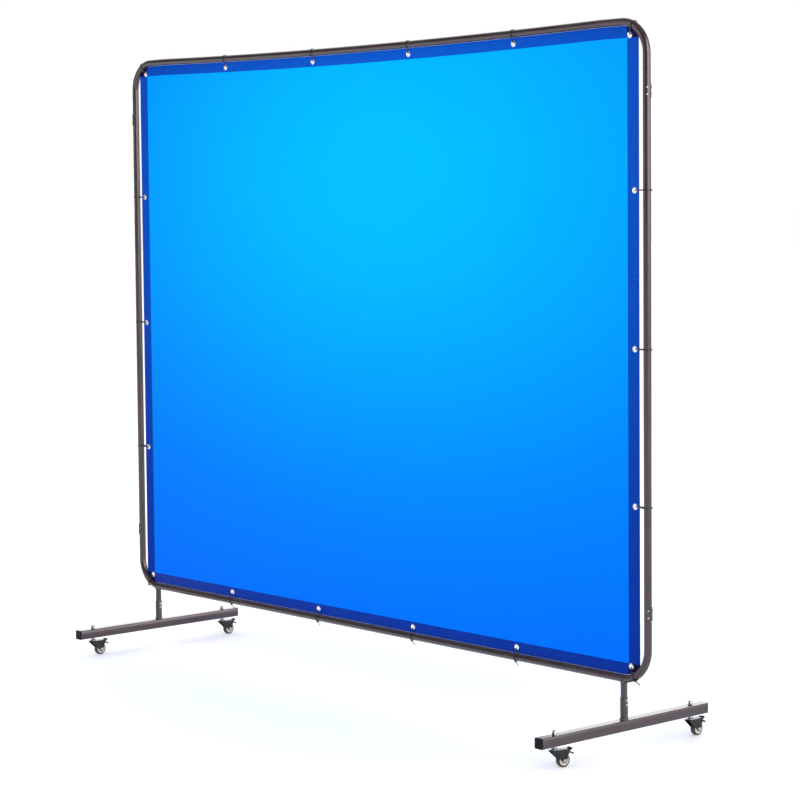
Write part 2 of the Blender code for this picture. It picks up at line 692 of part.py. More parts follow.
def grommet_holes():
    """Each hole as its place and the direction and distance to the centre line of the tube it is tied to."""
    half_width, bottom = curtain_edges()
    holes = {}
    across = math.cos(CORNER_HOLE_ANGLE)
    up = math.sin(CORNER_HOLE_ANGLE)
    corner_x = POST_X + (BEND_RADIUS - CORNER_REACH) * across
    corner_drop = BEND_RADIUS - (BEND_RADIUS - CORNER_REACH) * up
    for side, side_name in ((-1, "left"), (1, "right")):
        for level, level_name in ((-1, "bottom"), (1, "top")):
            height = TOP_TUBE_HEIGHT if level > 0 else BOTTOM_TUBE_HEIGHT
            place = Vector((side * corner_x, 0, height - level * corner_drop))
            towards = Vector((side * across, 0, level * up))
            holes[f"{level_name}_{side_name}"] = (place, towards, CORNER_REACH)
    for i in range(HOLES_BETWEEN_TOP):
        x = corner_x * (2 * (i + 1) / (HOLES_BETWEEN_TOP + 1) - 1)
        reach = TUBE_RADIUS + END_GAP + GROMMET_INSET
        top = Vector((x, 0, curtain_top_at(x) - GROMMET_INSET))
        holes[f"top_{i + 1}"] = (top, Vector((0, 0, 1)), reach)
        holes[f"bottom_{i + 1}"] = (Vector((x, 0, bottom + GROMMET_INSET)), Vector((0, 0, -1)), reach)
    low = BOTTOM_TUBE_HEIGHT + corner_drop
    high = TOP_TUBE_HEIGHT - corner_drop
    for i in range(HOLES_BETWEEN_SIDE):
        z = high - (high - low) * (i + 1) / (HOLES_BETWEEN_SIDE + 1) + SIDE_HOLES_RISE
        reach = TUBE_RADIUS + SIDE_GAP + GROMMET_INSET
        for side, side_name in ((-1, "left"), (1, "right")):
            place = Vector((side * (half_width - GROMMET_INSET), 0, z))
            holes[f"{side_name}_{i + 1}"] = (place, Vector((side, 0, 0)), reach)
    return holes


def build_curtain(holes):
    """The sheet, with its punched holes."""
    half = CURTAIN_THICKNESS / 2
    outline = curtain_outline()
    sheet = skin([[Vector((x, y, z)) for x, z in outline] for y in (half, -half)])
    curtain = add_object("curtain", sheet, curtain_vinyl())
    upright = Matrix.Rotation(math.pi / 2, 4, "X")
    punches = bmesh.new()
    for place, _, _ in holes.values():
        bmesh.ops.create_cone(
            punches,
            cap_ends=True,
            segments=TURNED_SIDES,
            radius1=GROMMET_HOLE_RADIUS,
            radius2=GROMMET_HOLE_RADIUS,
            depth=2 * THROUGH,
            matrix=Matrix.Translation(place) @ upright,
        )
    cut(curtain, "curtain_holes", punches)


def tie_stations(reach):
    """Centre line of a tie seen from its edge, with the tube at (0, 0).

    Each station is (point, half width, half thickness). The strap bears on the tube's side of the hole.
    """
    loop = TUBE_RADIUS + TIE_GAP + TIE_THICKNESS / 2
    hole_side = GROMMET_HOLE_RADIUS * math.cos(math.pi / TURNED_SIDES)
    strap_top = math.sqrt(hole_side**2 - (TIE_WIDTH / 2) ** 2) - GAP
    tip_centre = reach - strap_top + TIE_THICKNESS / 2 - TIE_TIP_RADIUS
    lean = math.asin((loop - TIE_TIP_RADIUS) / tip_centre)
    leave = math.pi / 2 + lean
    thin = (TIE_WIDTH / 2, TIE_THICKNESS / 2)
    thick = (TIE_HEAD_WIDTH / 2, TIE_HEAD_THICKNESS / 2)
    round_tube = [Vector(p) for p in arc((0, 0), loop, leave, -leave, LOOP_STEPS)]
    tip = arc((-tip_centre, 0), TIE_TIP_RADIUS, -leave, leave - 2 * math.pi, TIP_STEPS)
    round_hole = [Vector(p) for p in tip]
    run = round_hole[0] - round_tube[-1]
    along = run.normalized()
    middle = round_tube[-1] + run * TIE_HEAD_PLACE
    half = TIE_HEAD_LENGTH / 2
    foot = half + TIE_HEAD_RAMP
    stations = [(point, *thin) for point in round_tube]
    for step, section in ((-foot, thin), (-half, thick), (half, thick), (foot, thin)):
        stations.append((middle + along * step, *section))
    stations += [(point, *thin) for point in round_hole]
    return stations


def cable_tie(name, hole):
    """A strap round the tube and through a hole, with its locking head on the front run."""
    place, towards, reach = hole
    back = Vector((0, 1, 0))
    across = towards.cross(back)
    tube_centre = place + towards * reach
    stations = tie_stations(reach)
    rings = []
    for i, (point, half_width, half_thickness) in enumerate(stations):
        before = stations[i - 1][0]
        after = stations[(i + 1) % len(stations)][0]
        run = (after - before).normalized()
        outward = Vector((-run.y, run.x))
        inner_face = -TIE_THICKNESS / 2  # the head stands out of the loop, not into it
        outer_face = inner_face + 2 * half_thickness
        ring = []
        for side, face in ((-1, inner_face), (1, inner_face), (1, outer_face), (-1, outer_face)):
            flat = point + outward * face
            ring.append(tube_centre + towards * flat.x + back * flat.y + across * (side * half_width))
        rings.append(ring)
    return add_object(name, skin(rings, closed=True), tie_nylon())


def build_ties(holes):
    """Ties at the corners and along the top tube, which carry the curtain."""
    for place in ("top_left", "top_right", "bottom_left", "bottom_right"):
        cable_tie(f"cable_tie_{place}", holes[place])
    for i in range(HOLES_BETWEEN_TOP):
        cable_tie(f"cable_tie_top_{i + 1}", holes[f"top_{i + 1}"])


def main():
    for old in list(bpy.data.objects):
        bpy.data.objects.remove(old, do_unlink=True)
    build_frame()
    build_feet()
    holes = grommet_holes()
    build_curtain(holes)
    build_ties(holes)


main()
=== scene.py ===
import json
import math

import bmesh
import bpy
from mathutils import Matrix, Vector
from mathutils.geometry import delaunay_2d_cdt


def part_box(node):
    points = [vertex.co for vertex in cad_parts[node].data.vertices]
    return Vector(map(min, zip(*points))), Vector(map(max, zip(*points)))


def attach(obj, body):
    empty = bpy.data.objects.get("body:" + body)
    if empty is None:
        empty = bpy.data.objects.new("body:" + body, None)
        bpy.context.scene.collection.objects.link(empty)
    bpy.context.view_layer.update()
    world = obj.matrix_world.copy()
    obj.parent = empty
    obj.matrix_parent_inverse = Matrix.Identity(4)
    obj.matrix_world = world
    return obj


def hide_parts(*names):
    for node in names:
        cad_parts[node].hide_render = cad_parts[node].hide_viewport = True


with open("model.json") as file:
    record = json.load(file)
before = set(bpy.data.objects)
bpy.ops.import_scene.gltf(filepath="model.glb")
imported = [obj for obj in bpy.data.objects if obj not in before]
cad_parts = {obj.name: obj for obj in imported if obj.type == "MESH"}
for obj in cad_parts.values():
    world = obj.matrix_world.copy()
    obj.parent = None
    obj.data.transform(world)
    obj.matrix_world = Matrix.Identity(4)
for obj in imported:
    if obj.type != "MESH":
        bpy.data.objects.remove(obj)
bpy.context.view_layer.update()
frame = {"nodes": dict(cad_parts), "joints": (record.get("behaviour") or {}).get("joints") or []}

bl_info = {
    "name": "Welding Curtain Screen",
    "version": (1, 0, 0),
    "blender": (4, 5, 0),
    "location": "3D View > Sidebar > Screen",
    "description": "Tube frame, castered feet and tied vinyl curtain of a welding screen",
    "category": "Object",
}

# Measures of the frame, in metres


def lowest(node):
    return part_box(node)[0]


def highest(node):
    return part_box(node)[1]


def extent(node):
    return highest(node) - lowest(node)


def centre(node):
    return (highest(node) + lowest(node)) / 2


GAP = 0.0003  # between pieces that touch
TUBE_RADIUS = extent("upright_right").y / 2
HALF_WIDTH = centre("upright_right").x
TOP_HEIGHT = highest("corner_top_right").z - TUBE_RADIUS
BOTTOM_HEIGHT = lowest("corner_bottom_right").z + TUBE_RADIUS
HALF_SPAN = lowest("corner_top_right").x
CORNER_DROP = TOP_HEIGHT - lowest("corner_top_right").z
TOP_SAG = TOP_HEIGHT - TUBE_RADIUS - lowest("top_tube").z
POST_X = centre("post_socket_right").x
BEND_RADIUS = HALF_WIDTH - POST_X
SADDLE_LENGTH = extent("joint_saddle_top_right").z
SADDLE_REACH = highest("joint_saddle_top_right").x - HALF_WIDTH  # to its outer face
BEAM_TOP = highest("foot_beam_right").z
SOCKET_RADIUS = extent("post_socket_right").y / 2
SOCKET_TOP = highest("post_socket_right").z
STUB_RADIUS = extent("post_stub_right").x / 2
CURTAIN_HALF = highest("curtain").x
CURTAIN_LOW = lowest("curtain").z
CURTAIN_HIGH = highest("curtain").z
EDGE_GAP = CURTAIN_LOW - BOTTOM_HEIGHT - TUBE_RADIUS  # from the curtain to the bottom tube

JOINTS = {joint["name"]: joint for joint in frame["joints"]}
PLACES = [f"{side}_{end}" for side in ("left", "right") for end in ("front", "back")]
SIDES = ((-1, "left"), (1, "right"))
LEVELS = ((-1, "bottom"), (1, "top"))
PLAIN_CASTER = "left_front"  # its heading is straight, so its boxes give true sizes

WHEEL_HEIGHT = JOINTS[f"wheel_spin_{PLAIN_CASTER}"]["pos_m"][2]
WHEEL_WIDTH = extent(f"wheel_tyre_{PLAIN_CASTER}").x
AXLE_HALF = extent(f"caster_axle_{PLAIN_CASTER}").x / 2
AXLE_HEAD_RADIUS = extent(f"caster_axle_{PLAIN_CASTER}").z / 2
CROWN_TOP = highest(f"caster_fork_{PLAIN_CASTER}").z
STEM_DOME_RADIUS = extent(f"caster_stem_{PLAIN_CASTER}").x / 2
NUT_LOW = lowest(f"stem_nut_{PLAIN_CASTER}").z
NUT_TOP = highest(f"stem_nut_{PLAIN_CASTER}").z
NUT_CORNER = extent(f"stem_nut_{PLAIN_CASTER}").x / 2

# Details too small for the frame

SOCKET_FLOOR = SOCKET_TOP - 3 * (SOCKET_RADIUS - STUB_RADIUS)  # where the visible bore ends
NECK_LENGTH = 0.006  # seen of a tube's narrowed end before the next tube hides it
NECK_GROOVE = 0.0008  # width of the groove between two tubes
NECK_DEPTH = 0.0016
AXLE_CAP = 0.0024  # height of the cap outside each cheek
HOLE_RADIUS = 0.005  # of a hole punched in the curtain
EYELET_HOLE = 0.0048
TIE_THICKNESS = 0.0012
TIE_TIP = 0.0026  # radius of a tie where it turns through its hole
RIM_NEAR = 0.004  # of the curtain's edge, for points that belong to it
NOISE_LOW = 0.35  # most noise lies between these two
NOISE_HIGH = 0.65
RANDOM_TURN = 6.0  # radians, over which screws and eyelets are turned

# Mesh helpers


def skin(rings, closed=False):
    """Join rings of as many points each; the ends are capped unless the last ring meets the first."""
    bm = bmesh.new()
    rows = [[bm.verts.new(point) for point in ring] for ring in rings]
    pairs = list(zip(rows, rows[1:]))
    if closed:
        pairs.append((rows[-1], rows[0]))
    for low, high in pairs:
        for i in range(len(low)):
            j = (i + 1) % len(low)
            bm.faces.new((low[i], low[j], high[j], high[i]))
    if not closed:
        bm.faces.new(list(reversed(rows[0])))
        bm.faces.new(rows[-1])
    return bm


def ring(radius, height, sides):
    angles = [2 * math.pi * i / sides for i in range(sides)]
    return [Vector((radius * math.cos(a), radius * math.sin(a), height)) for a in angles]


def turned(profile, sides=48, closed=False):
    """A solid turned about Z from (radius, height) points; a closed profile has a bore."""
    return skin([ring(radius, height, sides) for radius, height in profile], closed)


def mirrored(profile):
    """Half a closed profile with its other half at opposite heights."""
    return profile + [(radius, -height) for radius, height in reversed(profile)]


def rounded(profile, radius, steps=3):
    """Round each inner corner of an open profile by a small fillet."""
    points = [profile[0]]
    for before, corner, after in zip(profile, profile[1:], profile[2:]):
        here = Vector(corner)
        arms = [Vector(before) - here, Vector(after) - here]
        reach = min(radius, arms[0].length * 0.45, arms[1].length * 0.45)
        start = here + arms[0].normalized() * reach
        end = here + arms[1].normalized() * reach
        for i in range(steps + 1):
            t = i / steps
            point = start * (1 - t) ** 2 + here * 2 * t * (1 - t) + end * t**2
            points.append((point.x, point.y))
    return points + [profile[-1]]


def joined(meshes):
    """Several bmeshes as one."""
    whole = bmesh.new()
    for part in meshes:
        mesh = bpy.data.meshes.new("part")
        part.to_mesh(mesh)
        part.free()
        whole.from_mesh(mesh)
        bpy.data.meshes.remove(mesh)
    return whole


def add_piece(name, bm, material, place=None, crease=35):
    """A bmesh as a smooth object at the origin, with its faces pointing out."""
    if place is not None:
        bm.transform(place)
    bmesh.ops.recalc_face_normals(bm, faces=bm.faces)
    mesh = bpy.data.meshes.new(name)
    bm.to_mesh(mesh)
    bm.free()
    mesh.materials.append(material)
    mesh.shade_smooth()
    mesh.set_sharp_from_angle(angle=math.radians(crease))
    piece = bpy.data.objects.new(name, mesh)
    bpy.context.scene.collection.objects.link(piece)
    return piece


def belongs(piece, body, slot, *nodes):
    """Tie a finished piece to its body, in place of its CAD nodes; its slot, the finish, is not used."""
    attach(piece, body)
    if nodes:
        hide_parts(*nodes)
    return piece


def soften(piece, width):
    """Round a piece's sharp edges."""
    bevel = piece.modifiers.new("edges", "BEVEL")
    bevel.width = width
    bevel.segments = 2
    bevel.limit_method = "ANGLE"
    bevel.angle_limit = math.radians(30)
    bevel.harden_normals = False
    return piece


def refined(node_name, name, material, bevel):
    """The shape of a CAD node, with its flats whole and its edges rounded."""
    bm = bmesh.new()
    bm.from_mesh(frame["nodes"][node_name].data)
    bmesh.ops.remove_doubles(bm, verts=bm.verts, dist=0.00002)
    bmesh.ops.dissolve_limit(bm, angle_limit=math.radians(1), verts=bm.verts, edges=bm.edges)
    return soften(add_piece(name, bm, material), bevel)


# Geometry node helpers


def geometry_tree(name, inputs):
    """An empty tree with a geometry input, named inputs and a geometry output."""
    tree = bpy.data.node_groups.new(name, "GeometryNodeTree")
    tree.interface.new_socket("Geometry", in_out="INPUT", socket_type="NodeSocketGeometry")
    for label, kind, default in inputs:
        socket = tree.interface.new_socket(label, in_out="INPUT", socket_type=kind)
        if default is not None:
            socket.default_value = default
    tree.interface.new_socket("Geometry", in_out="OUTPUT", socket_type="NodeSocketGeometry")
    return tree, tree.nodes.new("NodeGroupInput"), tree.nodes.new("NodeGroupOutput")


def node(tree, kind, links=None, **values):
    """Add a node, link its inputs by name or number, and set its properties."""
    made = tree.nodes.new(kind)
    for key, value in values.items():
        setattr(made, key, value)
    for key, source in (links or {}).items():
        if isinstance(source, bpy.types.NodeSocket):
            tree.links.new(source, made.inputs[key])
        else:
            made.inputs[key].default_value = source
    return made


def maths(tree, operation, first, second=None):
    """What a Math node makes of one or two values."""
    links = {0: first} if second is None else {0: first, 1: second}
    return node(tree, "ShaderNodeMath", links, operation=operation).outputs[0]


def named_attribute(tree, name, kind):
    """A value that each point carries under a name."""
    return node(tree, "GeometryNodeInputNamedAttribute", {"Name": name}, data_type=kind).outputs[0]


def swept(tree, curve, sides, radius, capped):
    """A round section swept along a curve."""
    section = node(tree, "GeometryNodeCurvePrimitiveCircle", {"Resolution": sides, "Radius": 1.0})
    links = {"Curve": curve, "Profile Curve": section.outputs[0], "Scale": radius, "Fill Caps": capped}
    return node(tree, "GeometryNodeCurveToMesh", links).outputs[0]


def finish_tree(tree, geometry, start, end):
    """Every tree ends by making its instances real and giving them their material."""
    real = node(tree, "GeometryNodeRealizeInstances", {"Geometry": geometry})
    links = {"Geometry": real.outputs[0], "Material": start.outputs["Finish"]}
    painted = node(tree, "GeometryNodeSetMaterial", links)
    tree.links.new(painted.outputs[0], end.inputs[0])
    return tree


def apply_tree(source, tree, values, name, crease=35):
    """Run a tree on a source object and keep only the plain mesh that it makes."""
    modifier = source.modifiers.new(tree.name, "NODES")
    modifier.node_group = tree
    for item in tree.interface.items_tree:
        if item.in_out == "INPUT" and item.name in values:
            modifier[item.identifier] = values[item.name]
    return plain_copy(source, name, crease)


def plain_copy(source, name, crease):
    """A source object's evaluated shape as a plain mesh with its creases sharp; the source is removed."""
    graph = bpy.context.evaluated_depsgraph_get()
    graph.update()
    mesh = bpy.data.meshes.new_from_object(source.evaluated_get(graph))
    mesh.name = name
    bpy.data.objects.remove(source)
    bm = bmesh.new()
    bm.from_mesh(mesh)
    bmesh.ops.recalc_face_normals(bm, faces=bm.faces)
    bm.to_mesh(mesh)
    bm.free()
    mesh.shade_smooth()
    mesh.set_sharp_from_angle(angle=math.radians(crease))
    piece = bpy.data.objects.new(name, mesh)
    bpy.context.scene.collection.objects.link(piece)
    return piece


def path_object(paths):
    """Polylines with a radius at each point, as loose edges. A path is (points, radii, is closed)."""
    vertices = []
    edges = []
    sizes = []
    for points, radii, closed in paths:
        first = len(vertices)
        vertices += [tuple(point) for point in points]
        sizes += list(radii)
        edges += [(first + i, first + i + 1) for i in range(len(points) - 1)]
        if closed:
            edges.append((first + len(points) - 1, first))
    mesh = bpy.data.meshes.new("paths")
    mesh.from_pydata(vertices, edges, [])
    mesh.attributes.new("radius_along", "FLOAT", "POINT").data.foreach_set("value", sizes)
    source = bpy.data.objects.new("paths", mesh)
    bpy.context.scene.collection.objects.link(source)
    return source


def tube_sweep_tree():
    """A round section swept along each path, as thick as the path's own radius."""
    inputs = (("Sides", "NodeSocketInt", 32), ("Finish", "NodeSocketMaterial", None))
    tree, start, end = geometry_tree("tube_sweep", inputs)
    curve = node(tree, "GeometryNodeMeshToCurve", {"Mesh": start.outputs[0]})
    radius = named_attribute(tree, "radius_along", "FLOAT")
    tube = swept(tree, curve.outputs[0], start.outputs["Sides"], radius, True)
    return finish_tree(tree, tube, start, end)


def weld_bead_tree():
    """A bead laid along each path in overlapping ripples of uneven size."""
    inputs = (
        ("Sides", "NodeSocketInt", 10),
        ("Step", "NodeSocketFloat", 0.0004),
        ("Bead Radius", "NodeSocketFloat", 0.002),
        ("Ripple", "NodeSocketFloat", 0.0005),
        ("Ripple Density", "NodeSocketFloat", 620.0),
        ("Finish", "NodeSocketMaterial", None),
    )
    tree, start, end = geometry_tree("weld_bead", inputs)
    given = start.outputs
    curve = node(tree, "GeometryNodeMeshToCurve", {"Mesh": given[0]})
    links = {"Curve": curve.outputs[0], "Length": given["Step"]}
    fine = node(tree, "GeometryNodeResampleCurve", links, mode="LENGTH")
    noise = node(tree, "ShaderNodeTexNoise", {"Scale": given["Ripple Density"], "Detail": 1.0})
    ripple = maths(tree, "MULTIPLY", noise.outputs[0], given["Ripple"])
    radius = maths(tree, "ADD", ripple, given["Bead Radius"])
    bead = swept(tree, fine.outputs[0], given["Sides"], radius, False)
    return finish_tree(tree, bead, start, end)


def scatter_tree():
    """A small piece on every point, turned by the point's angles and then about its own axis by chance."""
    inputs = (
        ("Piece", "NodeSocketObject", None),
        ("Spin", "NodeSocketFloat", 0.0),
        ("Seed", "NodeSocketInt", 7),
        ("Finish", "NodeSocketMaterial", None),
    )
    tree, start, end = geometry_tree("scatter", inputs)
    piece = node(tree, "GeometryNodeObjectInfo", {"Object": start.outputs["Piece"]})
    angles = named_attribute(tree, "angles", "FLOAT_VECTOR")
    turn = node(tree, "FunctionNodeEulerToRotation", {"Euler": angles})
    links = {"Points": start.outputs[0], "Instance": piece.outputs["Geometry"], "Rotation": turn.outputs[0]}
    placed = node(tree, "GeometryNodeInstanceOnPoints", links)
    chance = node(tree, "FunctionNodeRandomValue", {"Seed": start.outputs["Seed"]}, data_type="FLOAT")
    amount = maths(tree, "MULTIPLY", chance.outputs[1], start.outputs["Spin"])
    about = node(tree, "ShaderNodeCombineXYZ", {"Z": amount})
    spin = node(tree, "FunctionNodeEulerToRotation", {"Euler": about.outputs[0]})
    links = {"Instances": placed.outputs[0], "Rotation": spin.outputs[0]}
    spun = node(tree, "GeometryNodeRotateInstances", links)
    return finish_tree(tree, spun.outputs[0], start, end)


def scattered(name, pattern, places, material, spin=0.0):
    """Copies of a pattern made about +Z, at (point, direction of its axis, direction of its X) places."""
    mesh = bpy.data.meshes.new("points")
    mesh.from_pydata([tuple(point) for point, _, _ in places], [], [])
    angles = []
    for _, axis, across in places:
        up = Vector(axis).normalized()
        side = (Vector(across) - up * up.dot(Vector(across))).normalized()
        turn = Matrix((side, up.cross(side), up)).transposed()
        angles += list(turn.to_euler())
    mesh.attributes.new("angles", "FLOAT_VECTOR", "POINT").data.foreach_set("vector", angles)
    source = bpy.data.objects.new("points", mesh)
    bpy.context.scene.collection.objects.link(source)
    small = add_piece("pattern", pattern, material)
    values = {"Piece": small, "Spin": spin, "Finish": material}
    piece = apply_tree(source, shared("scatter", scatter_tree), values, name)
    bpy.data.objects.remove(small)
    return piece


def shared(name, build):
    """A node group that is built once and used again by name."""
    return bpy.data.node_groups.get(name) or build()


# Shader groups


def shader_group(name, inputs, outputs):
    """An empty shader group with named number inputs, their defaults and named outputs."""
    tree = bpy.data.node_groups.new(name, "ShaderNodeTree")
    for label, default in inputs:
        socket = tree.interface.new_socket(label, in_out="INPUT", socket_type="NodeSocketFloat")
        socket.default_value = default
    for label in outputs:
        tree.interface.new_socket(label, in_out="OUTPUT", socket_type="NodeSocketFloat")
    return tree, tree.nodes.new("NodeGroupInput"), tree.nodes.new("NodeGroupOutput")


def object_noise(tree, scale, detail, distortion=0.0):
    """Noise on the object's own coordinates."""
    where = node(tree, "ShaderNodeTexCoord")
    links = {"Vector": where.outputs["Object"], "Scale": scale, "Detail": detail, "Distortion": distortion}
    return node(tree, "ShaderNodeTexNoise", links).outputs[0]


def spread(tree, noise, low, high):
    """Noise, which keeps near its middle, stretched to reach from low to high."""
    links = {"Value": noise, 1: NOISE_LOW, 2: NOISE_HIGH, 3: low, 4: high}
    return node(tree, "ShaderNodeMapRange", links).outputs[0]


def grain_group():
    """Fine and broad unevenness: roughness between two values, a bump height and a mottling mask."""
    inputs = (("Fine Scale", 900.0), ("Broad Scale", 12.0), ("Low", 0.2), ("High", 0.4))
    tree, start, end = shader_group("surface_grain", inputs, ("Roughness", "Height", "Mottle"))
    fine = object_noise(tree, start.outputs["Fine Scale"], 3.0)
    broad = object_noise(tree, start.outputs["Broad Scale"], 4.0, 0.3)
    half = maths(tree, "MULTIPLY", maths(tree, "ADD", fine, broad), 0.5)
    rough = spread(tree, half, start.outputs["Low"], start.outputs["High"])
    mottle = spread(tree, broad, 0.0, 1.0)
    for label, value in (("Roughness", rough), ("Height", fine), ("Mottle", mottle)):
        tree.links.new(value, end.inputs[label])
    return tree


def painted_glow_group():
    """A soft oval mask for painted light: one at its centre, falling to nothing outside its reach."""
    inputs = (("Centre X", 0.15), ("Centre Z", 1.6), ("Reach X", 1.6), ("Reach Z", 0.85))
    tree, start, end = shader_group("painted_soft_glow", inputs, ("Mask",))
    where = node(tree, "ShaderNodeTexCoord")
    axes = node(tree, "ShaderNodeSeparateXYZ", {"Vector": where.outputs["Object"]})
    squares = []
    for axis in ("X", "Z"):
        away = maths(tree, "SUBTRACT", axes.outputs[axis], start.outputs[f"Centre {axis}"])
        share = maths(tree, "DIVIDE", away, start.outputs[f"Reach {axis}"])
        squares.append(maths(tree, "MULTIPLY", share, share))
    fall = maths(tree, "MULTIPLY", maths(tree, "ADD", *squares), -1.0)
    tree.links.new(maths(tree, "EXPONENT", fall), end.inputs["Mask"])
    return tree


def group_node(tree, name, build, **values):
    """Place a shared group in a material with its own values."""
    made = tree.nodes.new("ShaderNodeGroup")
    made.node_tree = shared(name, build)
    for key, value in values.items():
        made.inputs[key.replace("_", " ").title()].default_value = value
    return made


def mixed(tree, factor, first, second):
    """A colour between two, by a mask."""
    mix = tree.nodes.new("ShaderNodeMix")
    mix.data_type = "RGBA"
    tree.links.new(factor, mix.inputs[0])
    mix.inputs[6].default_value = (*first, 1.0)
    mix.inputs[7].default_value = (*second, 1.0)
    return mix.outputs[2]


# Materials


def finish(name, colour, second, roughness, scales, bump, **constants):
    """A finish with mottled colour, uneven roughness and a fine bump."""
    name = f"{name}_finish"  # the frame's own plain materials have the bare names
    material = bpy.data.materials.get(name)
    if material:
        return material
    material = bpy.data.materials.new(name)
    material.use_nodes = True
    tree = material.node_tree
    shader = tree.nodes["Principled BSDF"]
    low, high = roughness
    fine, broad = scales
    values = {"fine_scale": fine, "broad_scale": broad, "low": low, "high": high}
    grain = group_node(tree, "surface_grain", grain_group, **values)
    tree.links.new(mixed(tree, grain.outputs["Mottle"], colour, second), shader.inputs["Base Color"])
    tree.links.new(grain.outputs["Roughness"], shader.inputs["Roughness"])
    links = {"Strength": 0.5, "Distance": bump, "Height": grain.outputs["Height"]}
    uneven = node(tree, "ShaderNodeBump", links)
    tree.links.new(uneven.outputs[0], shader.inputs["Normal"])
    for label, value in constants.items():
        shader.inputs[label.replace("_", " ")].default_value = value
    return material


def settings():
    return bpy.context.scene.screen_settings


def powder_coat():
    """Glossy dark brown-black coating with a faint orange peel."""
    dark = tuple(settings().coat_colour)
    light = tuple(channel * 1.5 for channel in dark)
    gloss = {"Specular_IOR_Level": 0.8, "Specular_Tint": (1.0, 0.86, 0.90, 1.0)}
    return finish("powder_coat", dark, light, roughness=(0.12, 0.26), scales=(420, 9), bump=0.00008, **gloss)


def weld_metal():
    """Coated weld bead with bare shiny specks."""
    first = (0.03, 0.026, 0.028)
    second = (0.22, 0.20, 0.20)
    look = {"roughness": (0.18, 0.5), "scales": (1400, 260), "bump": 0.0003}
    return finish("weld_metal", first, second, **look, Metallic=0.7)


def zinc_plate():
    """Grey plated steel."""
    first = (0.52, 0.51, 0.52)
    second = (0.36, 0.35, 0.36)
    look = {"roughness": (0.18, 0.36), "scales": (1500, 90), "bump": 0.00004}
    return finish("zinc_plate", first, second, **look, Metallic=1.0)


def nickel_plate():
    """Polished grommet metal."""
    first = (0.93, 0.93, 0.94)
    second = (0.78, 0.78, 0.80)
    look = {"roughness": (0.08, 0.22), "scales": (1800, 120), "bump": 0.00003}
    return finish("nickel_plate", first, second, **look, Metallic=0.9)


def black_steel():
    """Pressed steel under a thin black coat."""
    first = (0.005, 0.004, 0.004)
    second = (0.013, 0.011, 0.011)
    look = {"roughness": (0.14, 0.34), "scales": (900, 60), "bump": 0.00008}
    return finish("black_steel", first, second, **look, Specular_IOR_Level=0.35)


def black_plastic():
    """Moulded plastic with a fine spark texture."""
    first = (0.003, 0.003, 0.003)
    second = (0.008, 0.007, 0.007)
    look = {"roughness": (0.34, 0.52), "scales": (2600, 40), "bump": 0.00008}
    return finish("black_plastic", first, second, **look, Specular_IOR_Level=0.12)


def tyre_rubber():
    """Matt brown-black rubber, dusty in patches."""
    first = (0.018, 0.013, 0.012)
    second = (0.050, 0.039, 0.034)
    look = {"roughness": (0.48, 0.74), "scales": (1700, 110), "bump": 0.00015}
    return finish("tyre_rubber", first, second, **look)


def rim_plastic():
    """Cream moulded plastic."""
    first = (0.82, 0.78, 0.72)
    second = (0.70, 0.65, 0.58)
    look = {"roughness": (0.32, 0.5), "scales": (1500, 70), "bump": 0.00004}
    return finish("rim_plastic", first, second, **look)


def tie_nylon():
    """Black nylon with a satin drag finish."""
    first = (0.010, 0.009, 0.010)
    second = (0.022, 0.020, 0.022)
    look = {"roughness": (0.34, 0.5), "scales": (2000, 150), "bump": 0.00004}
    return finish("tie_nylon", first, second, **look)


def pale_floor():
    """Plain pale floor with a little light of its own, so that it stays white under the screen."""
    first = (0.97, 0.97, 0.97)
    second = (0.95, 0.95, 0.95)
    look = {"roughness": (0.6, 0.8), "scales": (60, 0.6), "bump": 0.0001}
    glow = {"Emission_Color": (1.0, 1.0, 1.0, 1.0), "Emission_Strength": 0.14}
    return finish("pale_floor", first, second, **look, **glow, Specular_IOR_Level=0.1)


def vinyl(name, deep, bright, clearness):
    """Tinted vinyl with painted light: its base colour is painted brighter in an oval over its upper middle,
    where light comes through, and falls to the deep colour towards its edges and bottom.
    """
    gloss = {"Specular_IOR_Level": 0.10, "IOR": 1.12}
    material = finish(name, deep, bright, roughness=(0.154, 0.286), scales=(70, 2.2), bump=0.0002, **gloss)
    tree = material.node_tree
    shader = tree.nodes["Principled BSDF"]
    # Painted light: an oval of brighter base colour, placed over the upper middle of the curtain.
    reach = settings().painted_glow_reach
    height = CURTAIN_LOW + settings().painted_glow_height * (CURTAIN_HIGH - CURTAIN_LOW)
    values = {"centre_x": 0.12, "centre_z": height, "reach_x": reach * 1.7, "reach_z": reach}
    glow = group_node(tree, "painted_soft_glow", painted_glow_group, **values)
    # The finish's mottling mask is replaced by the painted glow mask, so this colour shift is painted light.
    blues = shader.inputs["Base Color"].links[0].from_node
    tree.links.new(glow.outputs["Mask"], blues.inputs[0])
    shader.inputs["Transmission Weight"].default_value = clearness
    return material


def curtain_vinyl():
    # The bright blue is painted light: the colour where the painted glow is brightest.
    return vinyl("curtain_vinyl", tuple(settings().deep_colour), tuple(settings().painted_lit_colour), 0.12)


def hem_vinyl():
    """Two layers of the vinyl, welded together, with the same painted light over the upper middle."""
    return vinyl("hem_vinyl", (0.003, 0.030, 0.30), (0.004, 0.105, 0.62), 0.12)


def corner_vinyl():
    """Four layers of the vinyl, nearly black, with the same painted light over the upper middle."""
    return vinyl("corner_vinyl", (0.006, 0.005, 0.036), (0.012, 0.010, 0.070), 0.02)


# Frame


def sag_at(x):
    """Drop of the top tube at x: none at the corner pieces, most at the middle."""
    return TOP_SAG * max(0.0, 1 - (x / HALF_SPAN) ** 2)


